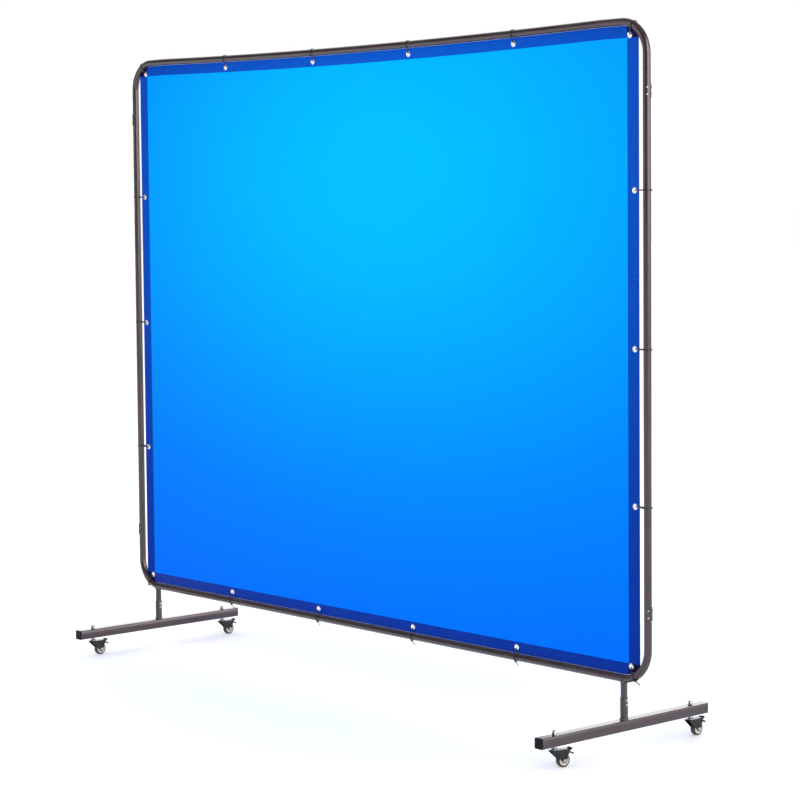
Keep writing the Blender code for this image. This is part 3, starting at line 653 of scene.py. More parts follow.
def tube_piece(name, points, material, necks=False):
    """A round tube along points; its necks are the narrowed ends that slide into the next tubes."""
    points = [Vector(point) for point in points]
    radii = [TUBE_RADIUS] * len(points)
    narrow = TUBE_RADIUS - NECK_DEPTH
    for _ in range(2 if necks else 0):
        tip = points[0]
        along = (tip - points[1]).normalized()
        neck = [tip + along * step for step in (NECK_LENGTH, -GAP, -NECK_GROOVE)]
        points = (neck + points[1:])[::-1]
        radii = ([narrow, narrow, TUBE_RADIUS] + radii[1:])[::-1]
    values = {"Sides": 40, "Finish": material}
    source = path_object([(points, radii, False)])
    return apply_tree(source, shared("tube_sweep", tube_sweep_tree), values, name)


def corner_points(side, level):
    """Centre line of a bent corner piece, from the top or bottom tube to the upright."""
    height = TOP_HEIGHT if level > 0 else BOTTOM_HEIGHT
    steps = settings().bend_steps
    points = [(HALF_SPAN, 0.0)]
    for i in range(steps + 1):
        a = math.pi / 2 * i / steps
        points.append((POST_X + BEND_RADIUS * math.sin(a), BEND_RADIUS * (math.cos(a) - 1)))
    points.append((HALF_WIDTH, -CORNER_DROP))
    return [Vector((side * x, 0, height + level * z)) for x, z in points]


class SCREEN_OT_frame(bpy.types.Operator):
    """Bent corner pieces, uprights and the top and bottom tubes"""

    bl_idname = "screen.frame"
    bl_label = "Tube Frame"

    def execute(self, context):
        coat = powder_coat()
        for side, side_name in SIDES:
            for level, level_name in LEVELS:
                name = f"corner_{level_name}_{side_name}"
                piece = tube_piece(f"bent_{name}", corner_points(side, level), coat)
                belongs(piece, "root", "powder_coat", name)
            x = side * HALF_WIDTH
            ends = (BOTTOM_HEIGHT + CORNER_DROP, TOP_HEIGHT - CORNER_DROP)
            points = [Vector((x, 0, z)) for z in (ends[0], (ends[0] + ends[1]) / 2, ends[1])]
            piece = tube_piece(f"round_upright_{side_name}", points, coat, necks=True)
            belongs(piece, "root", "powder_coat", f"upright_{side_name}")
        steps = 24
        xs = [HALF_SPAN * (2 * i / steps - 1) for i in range(steps + 1)]
        for name, height, drop in (("top", TOP_HEIGHT, 1), ("bottom", BOTTOM_HEIGHT, 0)):
            points = [Vector((x, 0, height - drop * sag_at(x))) for x in xs]
            piece = tube_piece(f"round_{name}_tube", points, coat, necks=True)
            belongs(piece, "root", "powder_coat", f"{name}_tube")
        return {"FINISHED"}


def screw_head(radius, height):
    """A plain domed head about +Z, with its seat at the origin."""
    dome = [(radius, 0), (radius, height * 0.35), (radius * 0.86, height * 0.72), (radius * 0.5, height)]
    return turned(dome, 20)


class SCREEN_OT_saddles(bpy.types.Operator):
    """Saddle plates over the joints of the uprights, and their screws"""

    bl_idname = "screen.saddles"
    bl_label = "Joint Saddles"

    def execute(self, context):
        coat = powder_coat()
        places = []
        for side, side_name in SIDES:
            for level, level_name in LEVELS:
                node_name = f"joint_saddle_{level_name}_{side_name}"
                piece = refined(node_name, f"saddle_{level_name}_{side_name}", coat, 0.0005)
                belongs(piece, "root", "powder_coat", node_name)
                middle = centre(node_name).z
                for step in (-1, 1):
                    for turn in (-45, 45):
                        angle = math.radians(turn)
                        out = Vector((side * math.cos(angle), math.sin(angle), 0))
                        place = Vector((side * HALF_WIDTH, 0, middle + step * SADDLE_LENGTH / 4))
                        places.append((place + out * (SADDLE_REACH - GAP), out, (0, 0, 1)))
        screws = scattered("saddle_screws", screw_head(0.0026, 0.0016), places, zinc_plate(), RANDOM_TURN)
        belongs(screws, "root", "zinc_plate")
        return {"FINISHED"}


# Posts and feet


def socket_shape(low):
    """A round socket with a softened lip and the part of its bore that shows."""
    bore = STUB_RADIUS + GAP
    profile = [(SOCKET_RADIUS, low), (SOCKET_RADIUS, SOCKET_TOP), (bore, SOCKET_TOP), (bore, SOCKET_FLOOR)]
    return turned(rounded(profile, 0.0004))


def stub_shape():
    """The stub from inside its socket to inside the bottom tube's round."""
    top = BOTTOM_HEIGHT - TUBE_RADIUS * 0.55
    return turned([(STUB_RADIUS, SOCKET_FLOOR + GAP), (STUB_RADIUS, top)])


class SCREEN_OT_posts(bpy.types.Operator):
    """Sockets welded to the feet, and the stubs under the frame that slide into them"""

    bl_idname = "screen.posts"
    bl_label = "Posts"

    def execute(self, context):
        coat = powder_coat()
        out = Vector((1, 0, 0))
        bolts = []
        for side, side_name in SIDES:
            place = Matrix.Translation((side * POST_X, 0, 0))
            low = lowest(f"post_socket_{side_name}").z
            socket = add_piece(f"socket_{side_name}", socket_shape(low), coat, place)
            belongs(socket, "root", "powder_coat", f"post_socket_{side_name}")
            stub = add_piece(f"stub_{side_name}", stub_shape(), coat, place)
            belongs(stub, "root", "powder_coat", f"post_stub_{side_name}")
            for drop in (0.008, 0.020):
                seat = Vector((side * POST_X, 0, SOCKET_TOP - drop)) + out * SOCKET_RADIUS * 0.98
                bolts.append((seat, out, (0, 0, 1)))
        heads = scattered("post_screws", screw_head(0.0036, 0.0022), bolts, zinc_plate(), RANDOM_TURN)
        belongs(heads, "root", "zinc_plate")
        return {"FINISHED"}


def bead_at_foot(side):
    """Ring round a socket on top of its beam."""
    middle = Vector((side * POST_X, 0, 0))
    return [middle + point for point in ring(SOCKET_RADIUS + 0.0006, BEAM_TOP + 0.0008, 48)]


def bead_under_tube(side):
    """Where a stub meets the round underside of the bottom tube."""
    points = []
    for point in ring(STUB_RADIUS + 0.0004, BOTTOM_HEIGHT, 48):
        drop = math.sqrt(max((TUBE_RADIUS + 0.0004) ** 2 - point.y**2, 0.0))
        points.append(point + Vector((side * POST_X, 0, -drop)))
    return points


class SCREEN_OT_welds(bpy.types.Operator):
    """Weld beads at both ends of each post"""

    bl_idname = "screen.welds"
    bl_label = "Weld Beads"

    def execute(self, context):
        beads = []
        for side, _ in SIDES:
            for points in (bead_at_foot(side), bead_under_tube(side)):
                beads.append((points, [1.0] * len(points), True))
        values = {
            "Bead Radius": settings().bead_radius,
            "Ripple": 0.0011,
            "Ripple Density": 420.0,
            "Finish": weld_metal(),
        }
        piece = apply_tree(path_object(beads), shared("weld_bead", weld_bead_tree), values, "weld_beads", 60)
        belongs(piece, "root", "powder_coat")
        return {"FINISHED"}


class SCREEN_OT_feet(bpy.types.Operator):
    """Square foot beams and the plastic plugs in their ends"""

    bl_idname = "screen.feet"
    bl_label = "Feet"

    def execute(self, context):
        for _, side_name in SIDES:
            beam = refined(f"foot_beam_{side_name}", f"beam_{side_name}", powder_coat(), 0.0003)
            belongs(beam, "root", "powder_coat", f"foot_beam_{side_name}")
            for end_name in ("front", "back"):
                name = f"end_plug_{side_name}_{end_name}"
                plug = refined(name, f"plug_{side_name}_{end_name}", black_plastic(), 0.0004)
                belongs(plug, "root", "black_plastic", name)
        return {"FINISHED"}


# Casters


def caster_place(place):
    """A caster's own space: its stem along Z at the origin, and its wheel trailing along +Y."""
    stem = Vector(JOINTS[f"swivel_turn_{place}"]["pos_m"])
    wheel = Vector(JOINTS[f"wheel_spin_{place}"]["pos_m"])
    trail = Vector((wheel.x - stem.x, wheel.y - stem.y, 0))
    turn = math.atan2(-trail.x, trail.y)
    return Matrix.Translation((stem.x, stem.y, 0)) @ Matrix.Rotation(turn, 4, "Z"), trail.length


def axle_place(place):
    """The wheel's own space: its axle along Z, at the origin."""
    whole, trail = caster_place(place)
    lay = Matrix(((0, 0, 1, 0), (1, 0, 0, 0), (0, 1, 0, 0), (0, 0, 0, 1)))
    return whole @ Matrix.Translation((0, trail, WHEEL_HEIGHT)) @ lay


def stem_shape():
    """The bearing dome on the crown, the collar under the beam and the riveted head inside the fork."""
    dome = STEM_DOME_RADIUS
    collar = dome * 0.68
    under_beam = lowest("foot_beam_left").z - GAP
    profile = [
        (dome * 0.60, CROWN_TOP - 0.0036),
        (dome * 0.68, CROWN_TOP - 0.0030),
        (dome * 0.68, CROWN_TOP - 0.0019),
        (dome * 0.45, CROWN_TOP - 0.0018),
        (dome * 0.45, CROWN_TOP + GAP),
        (dome, CROWN_TOP + GAP),
        (dome, CROWN_TOP + 0.0022),
        (dome * 0.80, CROWN_TOP + 0.0044),
        (collar, CROWN_TOP + 0.0056),
        (collar, under_beam),
        (dome * 0.40, under_beam),
        (dome * 0.40, BEAM_TOP + 0.006),
    ]
    return turned(rounded(profile, 0.0004), 40)


def nut_shape():
    """A domed cap nut: a chamfered hexagon under a half ball."""
    flats = NUT_CORNER * math.cos(math.pi / 6)
    hexagon_top = NUT_LOW + (NUT_TOP - NUT_LOW) * 0.46
    sides = 48
    rings = []

    def hexagon(shrink, height, roundness):
        points = []
        for i in range(sides):
            a = 2 * math.pi * i / sides
            reach = flats / math.cos((a + math.pi / 6) % (math.pi / 3) - math.pi / 6)
            radius = min(reach, NUT_CORNER * 0.985) * (1 - roundness) + flats * roundness
            points.append(Vector((radius * shrink * math.cos(a), radius * shrink * math.sin(a), height)))
        return points

    chamfer = 0.0006
    rings.append(hexagon(0.93, NUT_LOW, 1.0))
    rings.append(hexagon(1.0, NUT_LOW + chamfer, 0.0))
    rings.append(hexagon(1.0, hexagon_top - chamfer, 0.0))
    rings.append(hexagon(0.97, hexagon_top, 1.0))
    dome_height = NUT_TOP - hexagon_top
    for degrees in (0, 14, 28, 42, 56, 70, 82):
        a = math.radians(degrees)
        rings.append(ring(flats * 0.90 * math.cos(a), hexagon_top + dome_height * math.sin(a), sides))
    return skin(rings)


def axle_shape():
    """The axle rivet, with a broad polished cap outside each cheek."""
    cap = AXLE_HEAD_RADIUS
    inner = AXLE_HALF - AXLE_CAP
    profile = [
        (cap * 0.25, -AXLE_HALF),
        (cap * 0.62, -AXLE_HALF + 0.0002),
        (cap * 0.92, -inner - 0.0010),
        (cap, -inner - 0.0004),
        (cap, -inner),
        (cap * 0.5, -inner),
    ]
    return turned(rounded(mirrored(profile), 0.0003), 32)


def wheel_shapes():
    """The moulded centre and the tyre round it, each as a closed ring about Z."""
    half = WHEEL_WIDTH / 2
    tread = WHEEL_HEIGHT
    seat = tread - 0.0045
    bore = AXLE_HEAD_RADIUS * 0.5 + 0.0004
    boss = AXLE_HEAD_RADIUS * 1.15
    web = 0.003
    rim = 0.0032
    centre_half = [
        (bore, half),
        (boss, half),
        (boss + 0.0005, web),
        (seat - rim - 0.0006, web),
        (seat - rim, half - 0.0004),
        (seat - GAP, half - 0.0006),
    ]
    tyre_half = [
        (seat, half - 0.0006),
        (seat + 0.0012, half),
        (tread - 0.0022, half - 0.0001),
        (tread - 0.0008, half - 0.0010),
        (tread, half - 0.0028),
    ]
    return [turned(mirrored(profile), 64, closed=True) for profile in (centre_half, tyre_half)]


class SCREEN_OT_casters(bpy.types.Operator):
    """Swivel casters: stem, nut, fork, axle, wheel and brake pedal"""

    bl_idname = "screen.casters"
    bl_label = "Casters"

    def execute(self, context):
        for place in PLACES:
            upright, _ = caster_place(place)
            level = axle_place(place)
            stem = add_piece(f"stem_{place}", stem_shape(), zinc_plate(), upright)
            belongs(stem, "root", "zinc_plate", f"caster_stem_{place}")
            nut = add_piece(f"cap_nut_{place}", nut_shape(), zinc_plate(), upright, 28)
            belongs(nut, "root", "zinc_plate", f"stem_nut_{place}")
            fork = refined(f"caster_fork_{place}", f"fork_{place}", black_steel(), 0.0004)
            belongs(fork, f"swivel_{place}", "black_steel", f"caster_fork_{place}")
            axle = add_piece(f"axle_{place}", axle_shape(), zinc_plate(), level)
            belongs(axle, f"swivel_{place}", "zinc_plate", f"caster_axle_{place}")
            hub_shape, tyre_shape = wheel_shapes()
            hub = add_piece(f"hub_{place}", hub_shape, rim_plastic(), level)
            belongs(hub, f"wheel_{place}", "rim_plastic", f"wheel_hub_{place}")
            tyre = add_piece(f"tyre_{place}", tyre_shape, tyre_rubber(), level)
            belongs(tyre, f"wheel_{place}", "tyre_rubber", f"wheel_tyre_{place}")
            pedal = refined(f"brake_pedal_{place}", f"pedal_{place}", black_plastic(), 0.0004)
            belongs(pedal, f"brake_{place}", "black_plastic", f"brake_pedal_{place}")
        return {"FINISHED"}


# Curtain


def in_outer_edge(point):
    """Whether a point of the curtain's solid lies on its outer edge, not round a hole."""
    top = TOP_HEIGHT - sag_at(point.x) - TUBE_RADIUS - EDGE_GAP
    past_bend = max(point.z - TOP_HEIGHT, BOTTOM_HEIGHT - point.z) + BEND_RADIUS
    bend = Vector((abs(point.x) - POST_X, 0, past_bend))
    reach = BEND_RADIUS - TUBE_RADIUS - EDGE_GAP - RIM_NEAR
    if bend.x > 0 and bend.z > 0 and bend.length > reach:
        return True
    return min(CURTAIN_HALF - abs(point.x), top - point.z, point.z - CURTAIN_LOW) < RIM_NEAR


def hole_centres():
    """Centres of the curtain's punched holes, from the rings of points round them in its solid."""
    groups = []
    for vertex in frame["nodes"]["curtain"].data.vertices:
        point = Vector((vertex.co.x, 0, vertex.co.z))
        if in_outer_edge(point):
            continue
        near = [group for group in groups if (group[0] - point).length < 2.3 * HOLE_RADIUS]
        if near:
            near[0].append(point)
        else:
            groups.append([point])
    centres = []
    for group in groups:
        xs = [point.x for point in group]
        zs = [point.z for point in group]
        centres.append(Vector(((min(xs) + max(xs)) / 2, 0, (min(zs) + max(zs)) / 2)))
    return centres


def nearest_tube(point):
    """The closest point of the frame's centre line to a point in its plane, and the tube's direction."""
    level = 1 if point.z > (TOP_HEIGHT + BOTTOM_HEIGHT) / 2 else -1
    side = 1 if point.x > 0 else -1
    height = TOP_HEIGHT if level > 0 else BOTTOM_HEIGHT
    middle = Vector((side * POST_X, 0, height - level * BEND_RADIUS))
    away = Vector((point.x - middle.x, 0, point.z - middle.z))
    if away.x * side > 0 and away.z * level > 0:
        out = away.normalized()
        return middle + out * BEND_RADIUS, Vector((-out.z, 0, out.x))
    along_side = HALF_WIDTH - abs(point.x)
    drop = sag_at(point.x) if level > 0 else 0.0
    along_level = abs(height - drop - point.z)
    if along_side < along_level:
        return Vector((side * HALF_WIDTH, 0, point.z)), Vector((0, 0, 1))
    return Vector((point.x, 0, height - drop)), Vector((1, 0, 0))


def billow(x, z):
    """How far the film stands out of its plane: slack waves that die out at the ties."""
    across = x / CURTAIN_HALF
    up = (2 * z - CURTAIN_LOW - CURTAIN_HIGH) / (CURTAIN_HIGH - CURTAIN_LOW)
    fade = max(0.0, 1 - across**4) * max(0.0, 1 - up**4)
    broad = math.sin(4.1 * x + 1.3 * z)
    slant = 0.6 * math.sin(2.3 * z - 5.2 * x + 0.7)
    level = 0.5 * math.sin(7.0 * z + 1.1 * x)
    return settings().billow * fade * (broad + slant + level) / (1 + 0.6 + 0.5)


def curtain_outline(steps=14):
    """The curtain's edge, anticlockwise from the bottom left, as (x, z) points."""
    radius = BEND_RADIUS - TUBE_RADIUS - GAP
    start = math.acos((CURTAIN_HALF - POST_X) / radius)
    corner = []
    for i in range(steps + 1):
        a = start + (math.pi / 2 - start) * i / steps
        corner.append((POST_X + radius * math.cos(a), BEND_RADIUS - radius * math.sin(a)))
    left_bottom = [(-x, BOTTOM_HEIGHT + depth) for x, depth in corner]
    right_bottom = [(x, BOTTOM_HEIGHT + depth) for x, depth in reversed(corner)]
    right_top = [(x, TOP_HEIGHT - depth) for x, depth in corner]
    left_top = [(-x, TOP_HEIGHT - depth) for x, depth in reversed(corner)]
    xs = [HALF_SPAN * (1 - i / 12) for i in range(25)]
    top = [(x, TOP_HEIGHT - sag_at(x) - TUBE_RADIUS - GAP) for x in xs]
    return left_bottom + right_bottom + right_top + top + left_top


def hem_lines():
    """Half width and bottom of the single-layer panel inside the hems."""
    return CURTAIN_HALF - settings().side_hem, CURTAIN_LOW + settings().level_hem


def hem_top(x):
    """Top of the single-layer panel at x, which follows the sag of the tube."""
    return CURTAIN_HIGH - settings().level_hem - sag_at(x)


def curtain_triangles():
    """The whole sheet as one net of triangles, split along the hems' inner edges and round the holes."""
    points = []
    edges = []

    def chain(ring_points, closed):
        first = len(points)
        points.extend(Vector(p) for p in ring_points)
        edges.extend((first + i, first + i + 1) for i in range(len(ring_points) - 1))
        if closed:
            edges.append((first + len(ring_points) - 1, first))

    outline = curtain_outline()
    chain(outline, True)
    half, low = hem_lines()
    holes = hole_centres()
    for hole in holes:
        turns = [2 * math.pi * i / 20 for i in range(20)]
        circle = [(hole.x + HOLE_RADIUS * math.cos(a), hole.z + HOLE_RADIUS * math.sin(a)) for a in turns]
        chain(circle, True)
    count_x = 58
    count_z = 44
    xs = [-half + 2 * half * i / count_x for i in range(count_x + 1)]
    shares = [i / count_z for i in range(count_z + 1)]
    over = 0.02
    for side in (-1, 1):
        zs = [low + (hem_top(half) - low) * share for share in shares]
        chain([(side * half, z) for z in [CURTAIN_LOW - over] + zs + [CURTAIN_HIGH + over]], False)
    level_xs = [-CURTAIN_HALF - over] + xs + [CURTAIN_HALF + over]
    chain([(x, low) for x in level_xs], False)
    chain([(x, hem_top(x)) for x in level_xs], False)
    points.extend(Vector((x, low + (hem_top(x) - low) * share)) for x in xs[1:-1] for share in shares[1:-1])
    made = delaunay_2d_cdt(points, edges, [], 0, 0.00001)
    return made[0], made[2], outline, holes


def inside_outline(x, z, outline):
    """Whether a point lies inside a closed outline."""
    inside = False
    for (x0, z0), (x1, z1) in zip(outline, outline[1:] + outline[:1]):
        if (z0 > z) != (z1 > z) and x < x0 + (z - z0) * (x1 - x0) / (z1 - z0):
            inside = not inside
    return inside


def sheet_piece(name, corners, triangles, thickness, material):
    """A film of even thickness from some of the sheet's triangles."""
    used = sorted({i for triangle in triangles for i in triangle})
    bm = bmesh.new()
    made = {i: bm.verts.new((corners[i].x, billow(corners[i].x, corners[i].y), corners[i].y)) for i in used}
    for triangle in triangles:
        bm.faces.new([made[i] for i in triangle])
    bmesh.ops.join_triangles(bm, faces=bm.faces, angle_face_threshold=0.3, angle_shape_threshold=0.9)
    source = add_piece(f"{name}_middle", bm, material)
    wall = source.modifiers.new("film", "SOLIDIFY")
    wall.thickness = thickness
    wall.offset = 0.0
    return plain_copy(source, name, crease=20)


def grommet_shape():
    """A rolled eyelet with a washer behind it, about Z."""
    outer = settings().grommet_radius
    hole = EYELET_HOLE
    height = 0.0016
    profile = [
        (hole, -height * 0.9),
        (hole, height * 0.7),
        (hole * 1.12, height * 1.15),
        (hole * 1.45, height * 1.30),
        (outer * 0.86, height * 0.95),
        (outer, height * 0.45),
        (outer, -height * 0.30),
        (outer * 0.90, -height * 0.85),
    ]
    return turned(rounded(profile, 0.0004, 2), 28, closed=True)


class SCREEN_OT_curtain(bpy.types.Operator):
    """Vinyl curtain with welded hems, four-layer corners and grommets"""

    bl_idname = "screen.curtain"
    bl_label = "Curtain"

    def execute(self, context):
        corners, triangles, outline, holes = curtain_triangles()
        half, low = hem_lines()
        panel, hem, patches = [], [], []
        for triangle in triangles:
            x = sum(corners[i].x for i in triangle) / len(triangle)
            z = sum(corners[i].y for i in triangle) / len(triangle)
            punched = any(math.hypot(x - hole.x, z - hole.z) < 0.98 * HOLE_RADIUS for hole in holes)
            if punched or not inside_outline(x, z, outline):
                continue
            beside = abs(x) > half
            level = z < low or z > hem_top(x)
            kinds = {(False, False): panel, (True, True): patches}
            kinds.get((beside, level), hem).append(tuple(triangle))
        thickness = settings().film
        sheet = sheet_piece("curtain_panel", corners, panel, thickness, curtain_vinyl())
        border = sheet_piece("curtain_hem", corners, hem, 2 * thickness, hem_vinyl())
        squares = sheet_piece("curtain_corners", corners, patches, 3 * thickness, corner_vinyl())
        places = [(hole, (0, -1, 0), (1, 0, 0)) for hole in holes]
        eyelets = scattered("grommets", grommet_shape(), places, nickel_plate(), RANDOM_TURN)
        belongs(sheet, "root", "curtain_vinyl", "curtain")
        belongs(border, "root", "curtain_vinyl")
        belongs(squares, "root", "curtain_vinyl")
        belongs(eyelets, "root", "zinc_plate")
        return {"FINISHED"}


# Cable ties


def strap_path(reach):
    """Centre line of a tie round the tube and through a hole at -X, as (point, outward direction) pairs."""
    loop = TUBE_RADIUS + 0.0006 + TIE_THICKNESS / 2
    tip_centre = reach - 0.0016 - TIE_TIP
    lean = math.asin((loop - TIE_TIP) / tip_centre)
    path = []
    for middle, radius, first, sweep, steps in (
        (0.0, loop, -math.pi / 2 - lean, math.pi + 2 * lean, 28),
        (-tip_centre, TIE_TIP, math.pi / 2 + lean, math.pi - 2 * lean, 8),
    ):
        for i in range(steps + 1):
            a = first + sweep * i / steps
            out = Vector((math.cos(a), 0, math.sin(a)))
            path.append((Vector((middle, 0, 0)) + out * radius, out))
    return path, loop


def tie_shape(reach, head_turn, tail_length):
    """A strap round the tube, which lies along Y, and through a hole at -X, with its head turned from +X."""
    width = settings().tie_width
    across = Vector((0, 1, 0))
    path, loop = strap_path(reach)
    outline = ((-1, -0.6), (-0.8, -1), (0.8, -1), (1, -0.6), (1, 0.6), (0.8, 1), (-0.8, 1), (-1, 0.6))
    rings = []
    for point, out in path:
        rings.append([point + across * w * width / 2 + out * t * TIE_THICKNESS / 2 for w, t in outline])
    head_angle = math.radians(head_turn)
    out = Vector((math.cos(head_angle), 0, math.sin(head_angle)))
    along = Vector((-out.z, 0, out.x))
    seat = out * (loop + 0.0014)
    parts = [skin(rings, closed=True), box_between(seat, out * 0.0022, along * 0.0031, across * 0.0030)]
    if tail_length:
        way = (out * 0.55 - along).normalized()
        middle = seat + out * 0.0004 - along * 0.002 + way * tail_length / 2
        thick = way.cross(across) * TIE_THICKNESS * 0.4
        parts.append(box_between(middle, thick, way * tail_length / 2, across * width * 0.46))
    return joined(parts)


def box_between(middle, a, b, c):
    """A chamfered block about a middle, with half-edges a, b and c."""
    rings = []
    for step, share in ((-1, 0.82), (-0.82, 1), (0.82, 1), (1, 0.82)):
        outline = ((-1, -0.7), (-0.7, -1), (0.7, -1), (1, -0.7), (1, 0.7), (0.7, 1), (-0.7, 1), (-1, 0.7))
        rings.append([middle + b * step + a * share * u + c * share * v for u, v in outline])
    return skin(rings)


class SCREEN_OT_ties(bpy.types.Operator):
    """Black cable ties through every grommet and round the tube"""

    bl_idname = "screen.ties"
    bl_label = "Cable Ties"

    def execute(self, context):
        kinds = {}
        for hole in hole_centres():
            on_tube, along = nearest_tube(hole)
            towards = on_tube - hole
            below = towards.z < -0.5 * towards.length
            kinds.setdefault((round(towards.length, 4), below), []).append((on_tube, towards, along))
        parts = []
        for (reach, below), tubes in sorted(kinds.items()):
            places = []
            for on_tube, towards, along in tubes:
                front = Vector((0, -1, 0)) if below else Vector((0, 1, 0))
                places.append((on_tube, front, towards))
            shape = tie_shape(reach, 24, settings().tie_tail) if below else tie_shape(reach, 84, 0)
            parts.append(scattered(f"ties_{len(parts)}", shape, places, tie_nylon()))
        whole = bmesh.new()
        for part in parts:
            whole.from_mesh(part.data)
            bpy.data.objects.remove(part)
        ties = add_piece("cable_ties", whole, tie_nylon())
        nodes = sorted(name for name in frame["nodes"] if name.startswith("cable_tie"))
        belongs(ties, "root", "tie_nylon", *nodes)
        return {"FINISHED"}


# Stage


def area_light(name, place, aim, size, power):
    data = bpy.data.lights.new(name, "AREA")
    data.shape = "RECTANGLE"
    data.size, data.size_y = size
    data.energy = power
    lamp = bpy.data.objects.new(name, data)
    lamp.location = place
    lamp.rotation_euler = (Vector(aim) - Vector(place)).to_track_quat("-Z", "Y").to_euler()
    bpy.context.scene.collection.objects.link(lamp)


def soft_patch(tree, where, heading, rise, inner, outer, strength):
    """A soft round patch of brightness in the surroundings, at a heading and a rise in degrees."""
    turn = math.radians(heading)
    lift = math.radians(rise)
    middle = (math.cos(turn) * math.cos(lift), math.sin(turn) * math.cos(lift), math.sin(lift))
    nearness = node(tree, "ShaderNodeVectorMath", {0: where, 1: middle}, operation="DOT_PRODUCT")
    ends = {1: math.cos(math.radians(outer)), 2: math.cos(math.radians(inner)), 3: 0.0, 4: strength}
    made = node(tree, "ShaderNodeMapRange", {"Value": nearness.outputs["Value"], **ends})
    made.interpolation_type = "SMOOTHSTEP"
    return made.outputs[0]


def pale_world():
    """White all round; the gloss reflects dark surroundings with a bright side and a bright far wall."""
    world = bpy.data.worlds.new("pale_world")
    world.use_nodes = True
    tree = world.node_tree
    tree.nodes.clear()
    where = tree.nodes.new("ShaderNodeTexCoord").outputs["Generated"]
    total = settings().surround
    for patch in ((8, 6, 22, 52, settings().side_glow), (139, 12, 24, 60, settings().far_glow)):
        lit = soft_patch(tree, where, *patch)
        total = maths(tree, "ADD", total, lit)
    dim = node(tree, "ShaderNodeBackground", {"Color": (1, 1, 1, 1), "Strength": total})
    bright = node(tree, "ShaderNodeBackground", {"Color": (1, 1, 1, 1), "Strength": 1.0})
    ray = tree.nodes.new("ShaderNodeLightPath")
    links = {0: ray.outputs["Is Glossy Ray"], 1: ray.outputs["Is Transmission Ray"]}
    gloss = node(tree, "ShaderNodeMath", links, operation="SUBTRACT")
    gloss.use_clamp = True
    mix = tree.nodes.new("ShaderNodeMixShader")
    tree.links.new(gloss.outputs[0], mix.inputs[0])
    tree.links.new(bright.outputs[0], mix.inputs[1])
    tree.links.new(dim.outputs[0], mix.inputs[2])
    out = tree.nodes.new("ShaderNodeOutputWorld")
    tree.links.new(mix.outputs[0], out.inputs["Surface"])
    bpy.context.scene.world = world


class SCREEN_OT_stage(bpy.types.Operator):
    """Pale floor, soft studio lights and the camera"""

    bl_idname = "screen.stage"
    bl_label = "Stage"

    def execute(self, context):
        reach = 60.0
        bm = bmesh.new()
        square = [bm.verts.new((x * reach, y * reach, 0)) for x, y in ((-1, -1), (1, -1), (1, 1), (-1, 1))]
        bm.faces.new(square)
        floor = add_piece("pale_floor", bm, pale_floor())
        pale_world()
        aim = (0, 0, 1.0)
        power = settings().lamp_power
        area_light("overhead", (0, 0, 6.5), aim, (7, 7), power)
        area_light("front_left", (-3.5, -6.5, 3.2), aim, (1.2, 3.4), power)
        area_light("front_right", (7.5, -1.5, 3.4), aim, (1.0, 3.4), power)
        area_light("behind", (-2.5, 7.0, 3.5), aim, (1.6, 3.4), power)
        context.scene.view_settings.view_transform = "Standard"
        self.add_camera(context)
        return {"FINISHED"}

    def add_camera(self, context):
        view = settings()
        data = bpy.data.cameras.new("camera")
        data.lens = view.lens
        data.sensor_width = 36.0
        data.shift_y = view.camera_shift
        data.clip_end = 200.0
        camera = bpy.data.objects.new("camera", data)
        camera.location = view.camera_place
        turn = Matrix.Rotation(view.camera_turn, 3, "Z")
        tip = Matrix.Rotation(math.pi / 2 + view.camera_tip, 3, "X")
        roll = Matrix.Rotation(view.camera_roll, 3, "Z")
        camera.rotation_euler = (turn @ tip @ roll).to_euler()
        context.scene.collection.objects.link(camera)
        context.scene.camera = camera


# Settings, panel and registration


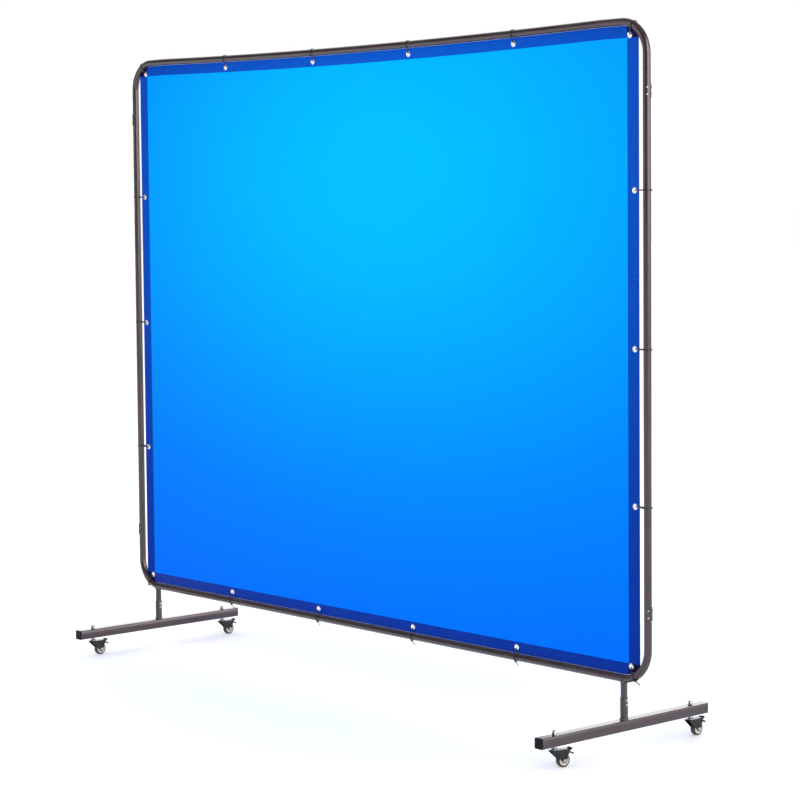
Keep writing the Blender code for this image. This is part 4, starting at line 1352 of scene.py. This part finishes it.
class ScreenSettings(bpy.types.PropertyGroup):
    """Sizes and colours that a user would change."""

    bend_steps: bpy.props.IntProperty(
        name="Bend Steps", description="Steps round each bent corner", default=28
    )
    side_hem: bpy.props.FloatProperty(
        name="Side Hem", description="Width of the hems beside the uprights", default=0.042, unit="LENGTH"
    )
    level_hem: bpy.props.FloatProperty(
        name="Top and Bottom Hem", description="Width of the level hems", default=0.032, unit="LENGTH"
    )
    film: bpy.props.FloatProperty(
        name="Film", description="Thickness of one layer of vinyl",
        default=0.0005, precision=5, unit="LENGTH",
    )
    billow: bpy.props.FloatProperty(
        name="Billow", description="Depth of the slack waves", default=0.002, precision=4, unit="LENGTH"
    )
    grommet_radius: bpy.props.FloatProperty(
        name="Grommet Radius", description="Outer radius of a grommet",
        default=0.0090, precision=4, unit="LENGTH",
    )
    tie_width: bpy.props.FloatProperty(
        name="Tie Width", description="Width of a cable tie", default=0.0036, precision=4, unit="LENGTH"
    )
    tie_tail: bpy.props.FloatProperty(
        name="Tie Tail", description="Length of a cut tail", default=0.016, precision=4, unit="LENGTH"
    )
    bead_radius: bpy.props.FloatProperty(
        name="Weld Bead", description="Radius of a weld bead", default=0.0014, precision=4, unit="LENGTH"
    )
    coat_colour: bpy.props.FloatVectorProperty(
        name="Powder Coat", description="Colour of the frame",
        subtype="COLOR", default=(0.020, 0.014, 0.015),
    )
    # The vinyl's colour outside the painted light of the glow, so it is darker towards the bottom.
    deep_colour: bpy.props.FloatVectorProperty(
        name="Deep Blue", description="Vinyl towards its bottom", subtype="COLOR", default=(0.0, 0.14, 1.0)
    )
    # Painted light: the vinyl's colour where the painted glow is brightest.
    painted_lit_colour: bpy.props.FloatVectorProperty(
        name="Bright Blue", description="Vinyl where light comes through",
        subtype="COLOR", default=(0.0, 0.49, 1.0),
    )
    # Height of the painted light's brightest place on the vinyl.
    painted_glow_height: bpy.props.FloatProperty(
        name="Glow Height", description="Height of the brightest place, as a share",
        default=0.79, subtype="FACTOR",
    )
    # Reach of the painted light on the vinyl.
    painted_glow_reach: bpy.props.FloatProperty(
        name="Glow Reach", description="Height over which the glow falls off", default=0.88, unit="LENGTH"
    )
    surround: bpy.props.FloatProperty(
        name="Surround", description="Brightness of the dark surroundings in the gloss", default=0.12
    )
    side_glow: bpy.props.FloatProperty(
        name="Side Glow", description="Brightness of the bright side in the gloss", default=4.2
    )
    far_glow: bpy.props.FloatProperty(
        name="Far Glow", description="Brightness of the far wall in the gloss", default=2.2
    )
    lamp_power: bpy.props.FloatProperty(
        name="Lamp Power", description="Power of each lamp in watts", default=60.0, unit="POWER"
    )
    lens: bpy.props.FloatProperty(name="Lens", description="Focal length in millimetres", default=105.4)
    camera_shift: bpy.props.FloatProperty(name="Shift", description="Vertical lens shift", default=-0.06)
    camera_place: bpy.props.FloatVectorProperty(
        name="Camera", description="Place of the camera",
        subtype="TRANSLATION", default=(5.491, -4.679, 1.514),
    )
    camera_turn: bpy.props.FloatProperty(
        name="Turn", description="Heading of the camera", subtype="ANGLE", default=0.8489
    )
    camera_tip: bpy.props.FloatProperty(
        name="Tip", description="Tip of the camera from level", subtype="ANGLE", default=-0.0629
    )
    camera_roll: bpy.props.FloatProperty(
        name="Roll", description="Roll of the camera", subtype="ANGLE", default=-0.0088
    )


PIECES = (
    SCREEN_OT_stage,
    SCREEN_OT_frame,
    SCREEN_OT_saddles,
    SCREEN_OT_posts,
    SCREEN_OT_welds,
    SCREEN_OT_feet,
    SCREEN_OT_casters,
    SCREEN_OT_ties,
    SCREEN_OT_curtain,
)


class SCREEN_PT_panel(bpy.types.Panel):
    """Lists the pieces and their sizes"""

    bl_idname = "SCREEN_PT_panel"
    bl_label = "Welding Curtain Screen"
    bl_space_type = "VIEW_3D"
    bl_region_type = "UI"
    bl_category = "Screen"

    def draw(self, context):
        for name in ScreenSettings.__annotations__:
            self.layout.prop(context.scene.screen_settings, name)
        for operator in PIECES:
            self.layout.operator(operator.bl_idname)


CLASSES = (ScreenSettings, *PIECES, SCREEN_PT_panel)


def register():
    for cls in CLASSES:
        bpy.utils.register_class(cls)
    bpy.types.Scene.screen_settings = bpy.props.PointerProperty(type=ScreenSettings)


def unregister():
    del bpy.types.Scene.screen_settings
    for cls in reversed(CLASSES):
        bpy.utils.unregister_class(cls)


def main():
    register()
    for operator in PIECES:
        group, name = operator.bl_idname.split(".")
        getattr(getattr(bpy.ops, group), name)()


if __name__ == "__main__":
    main()
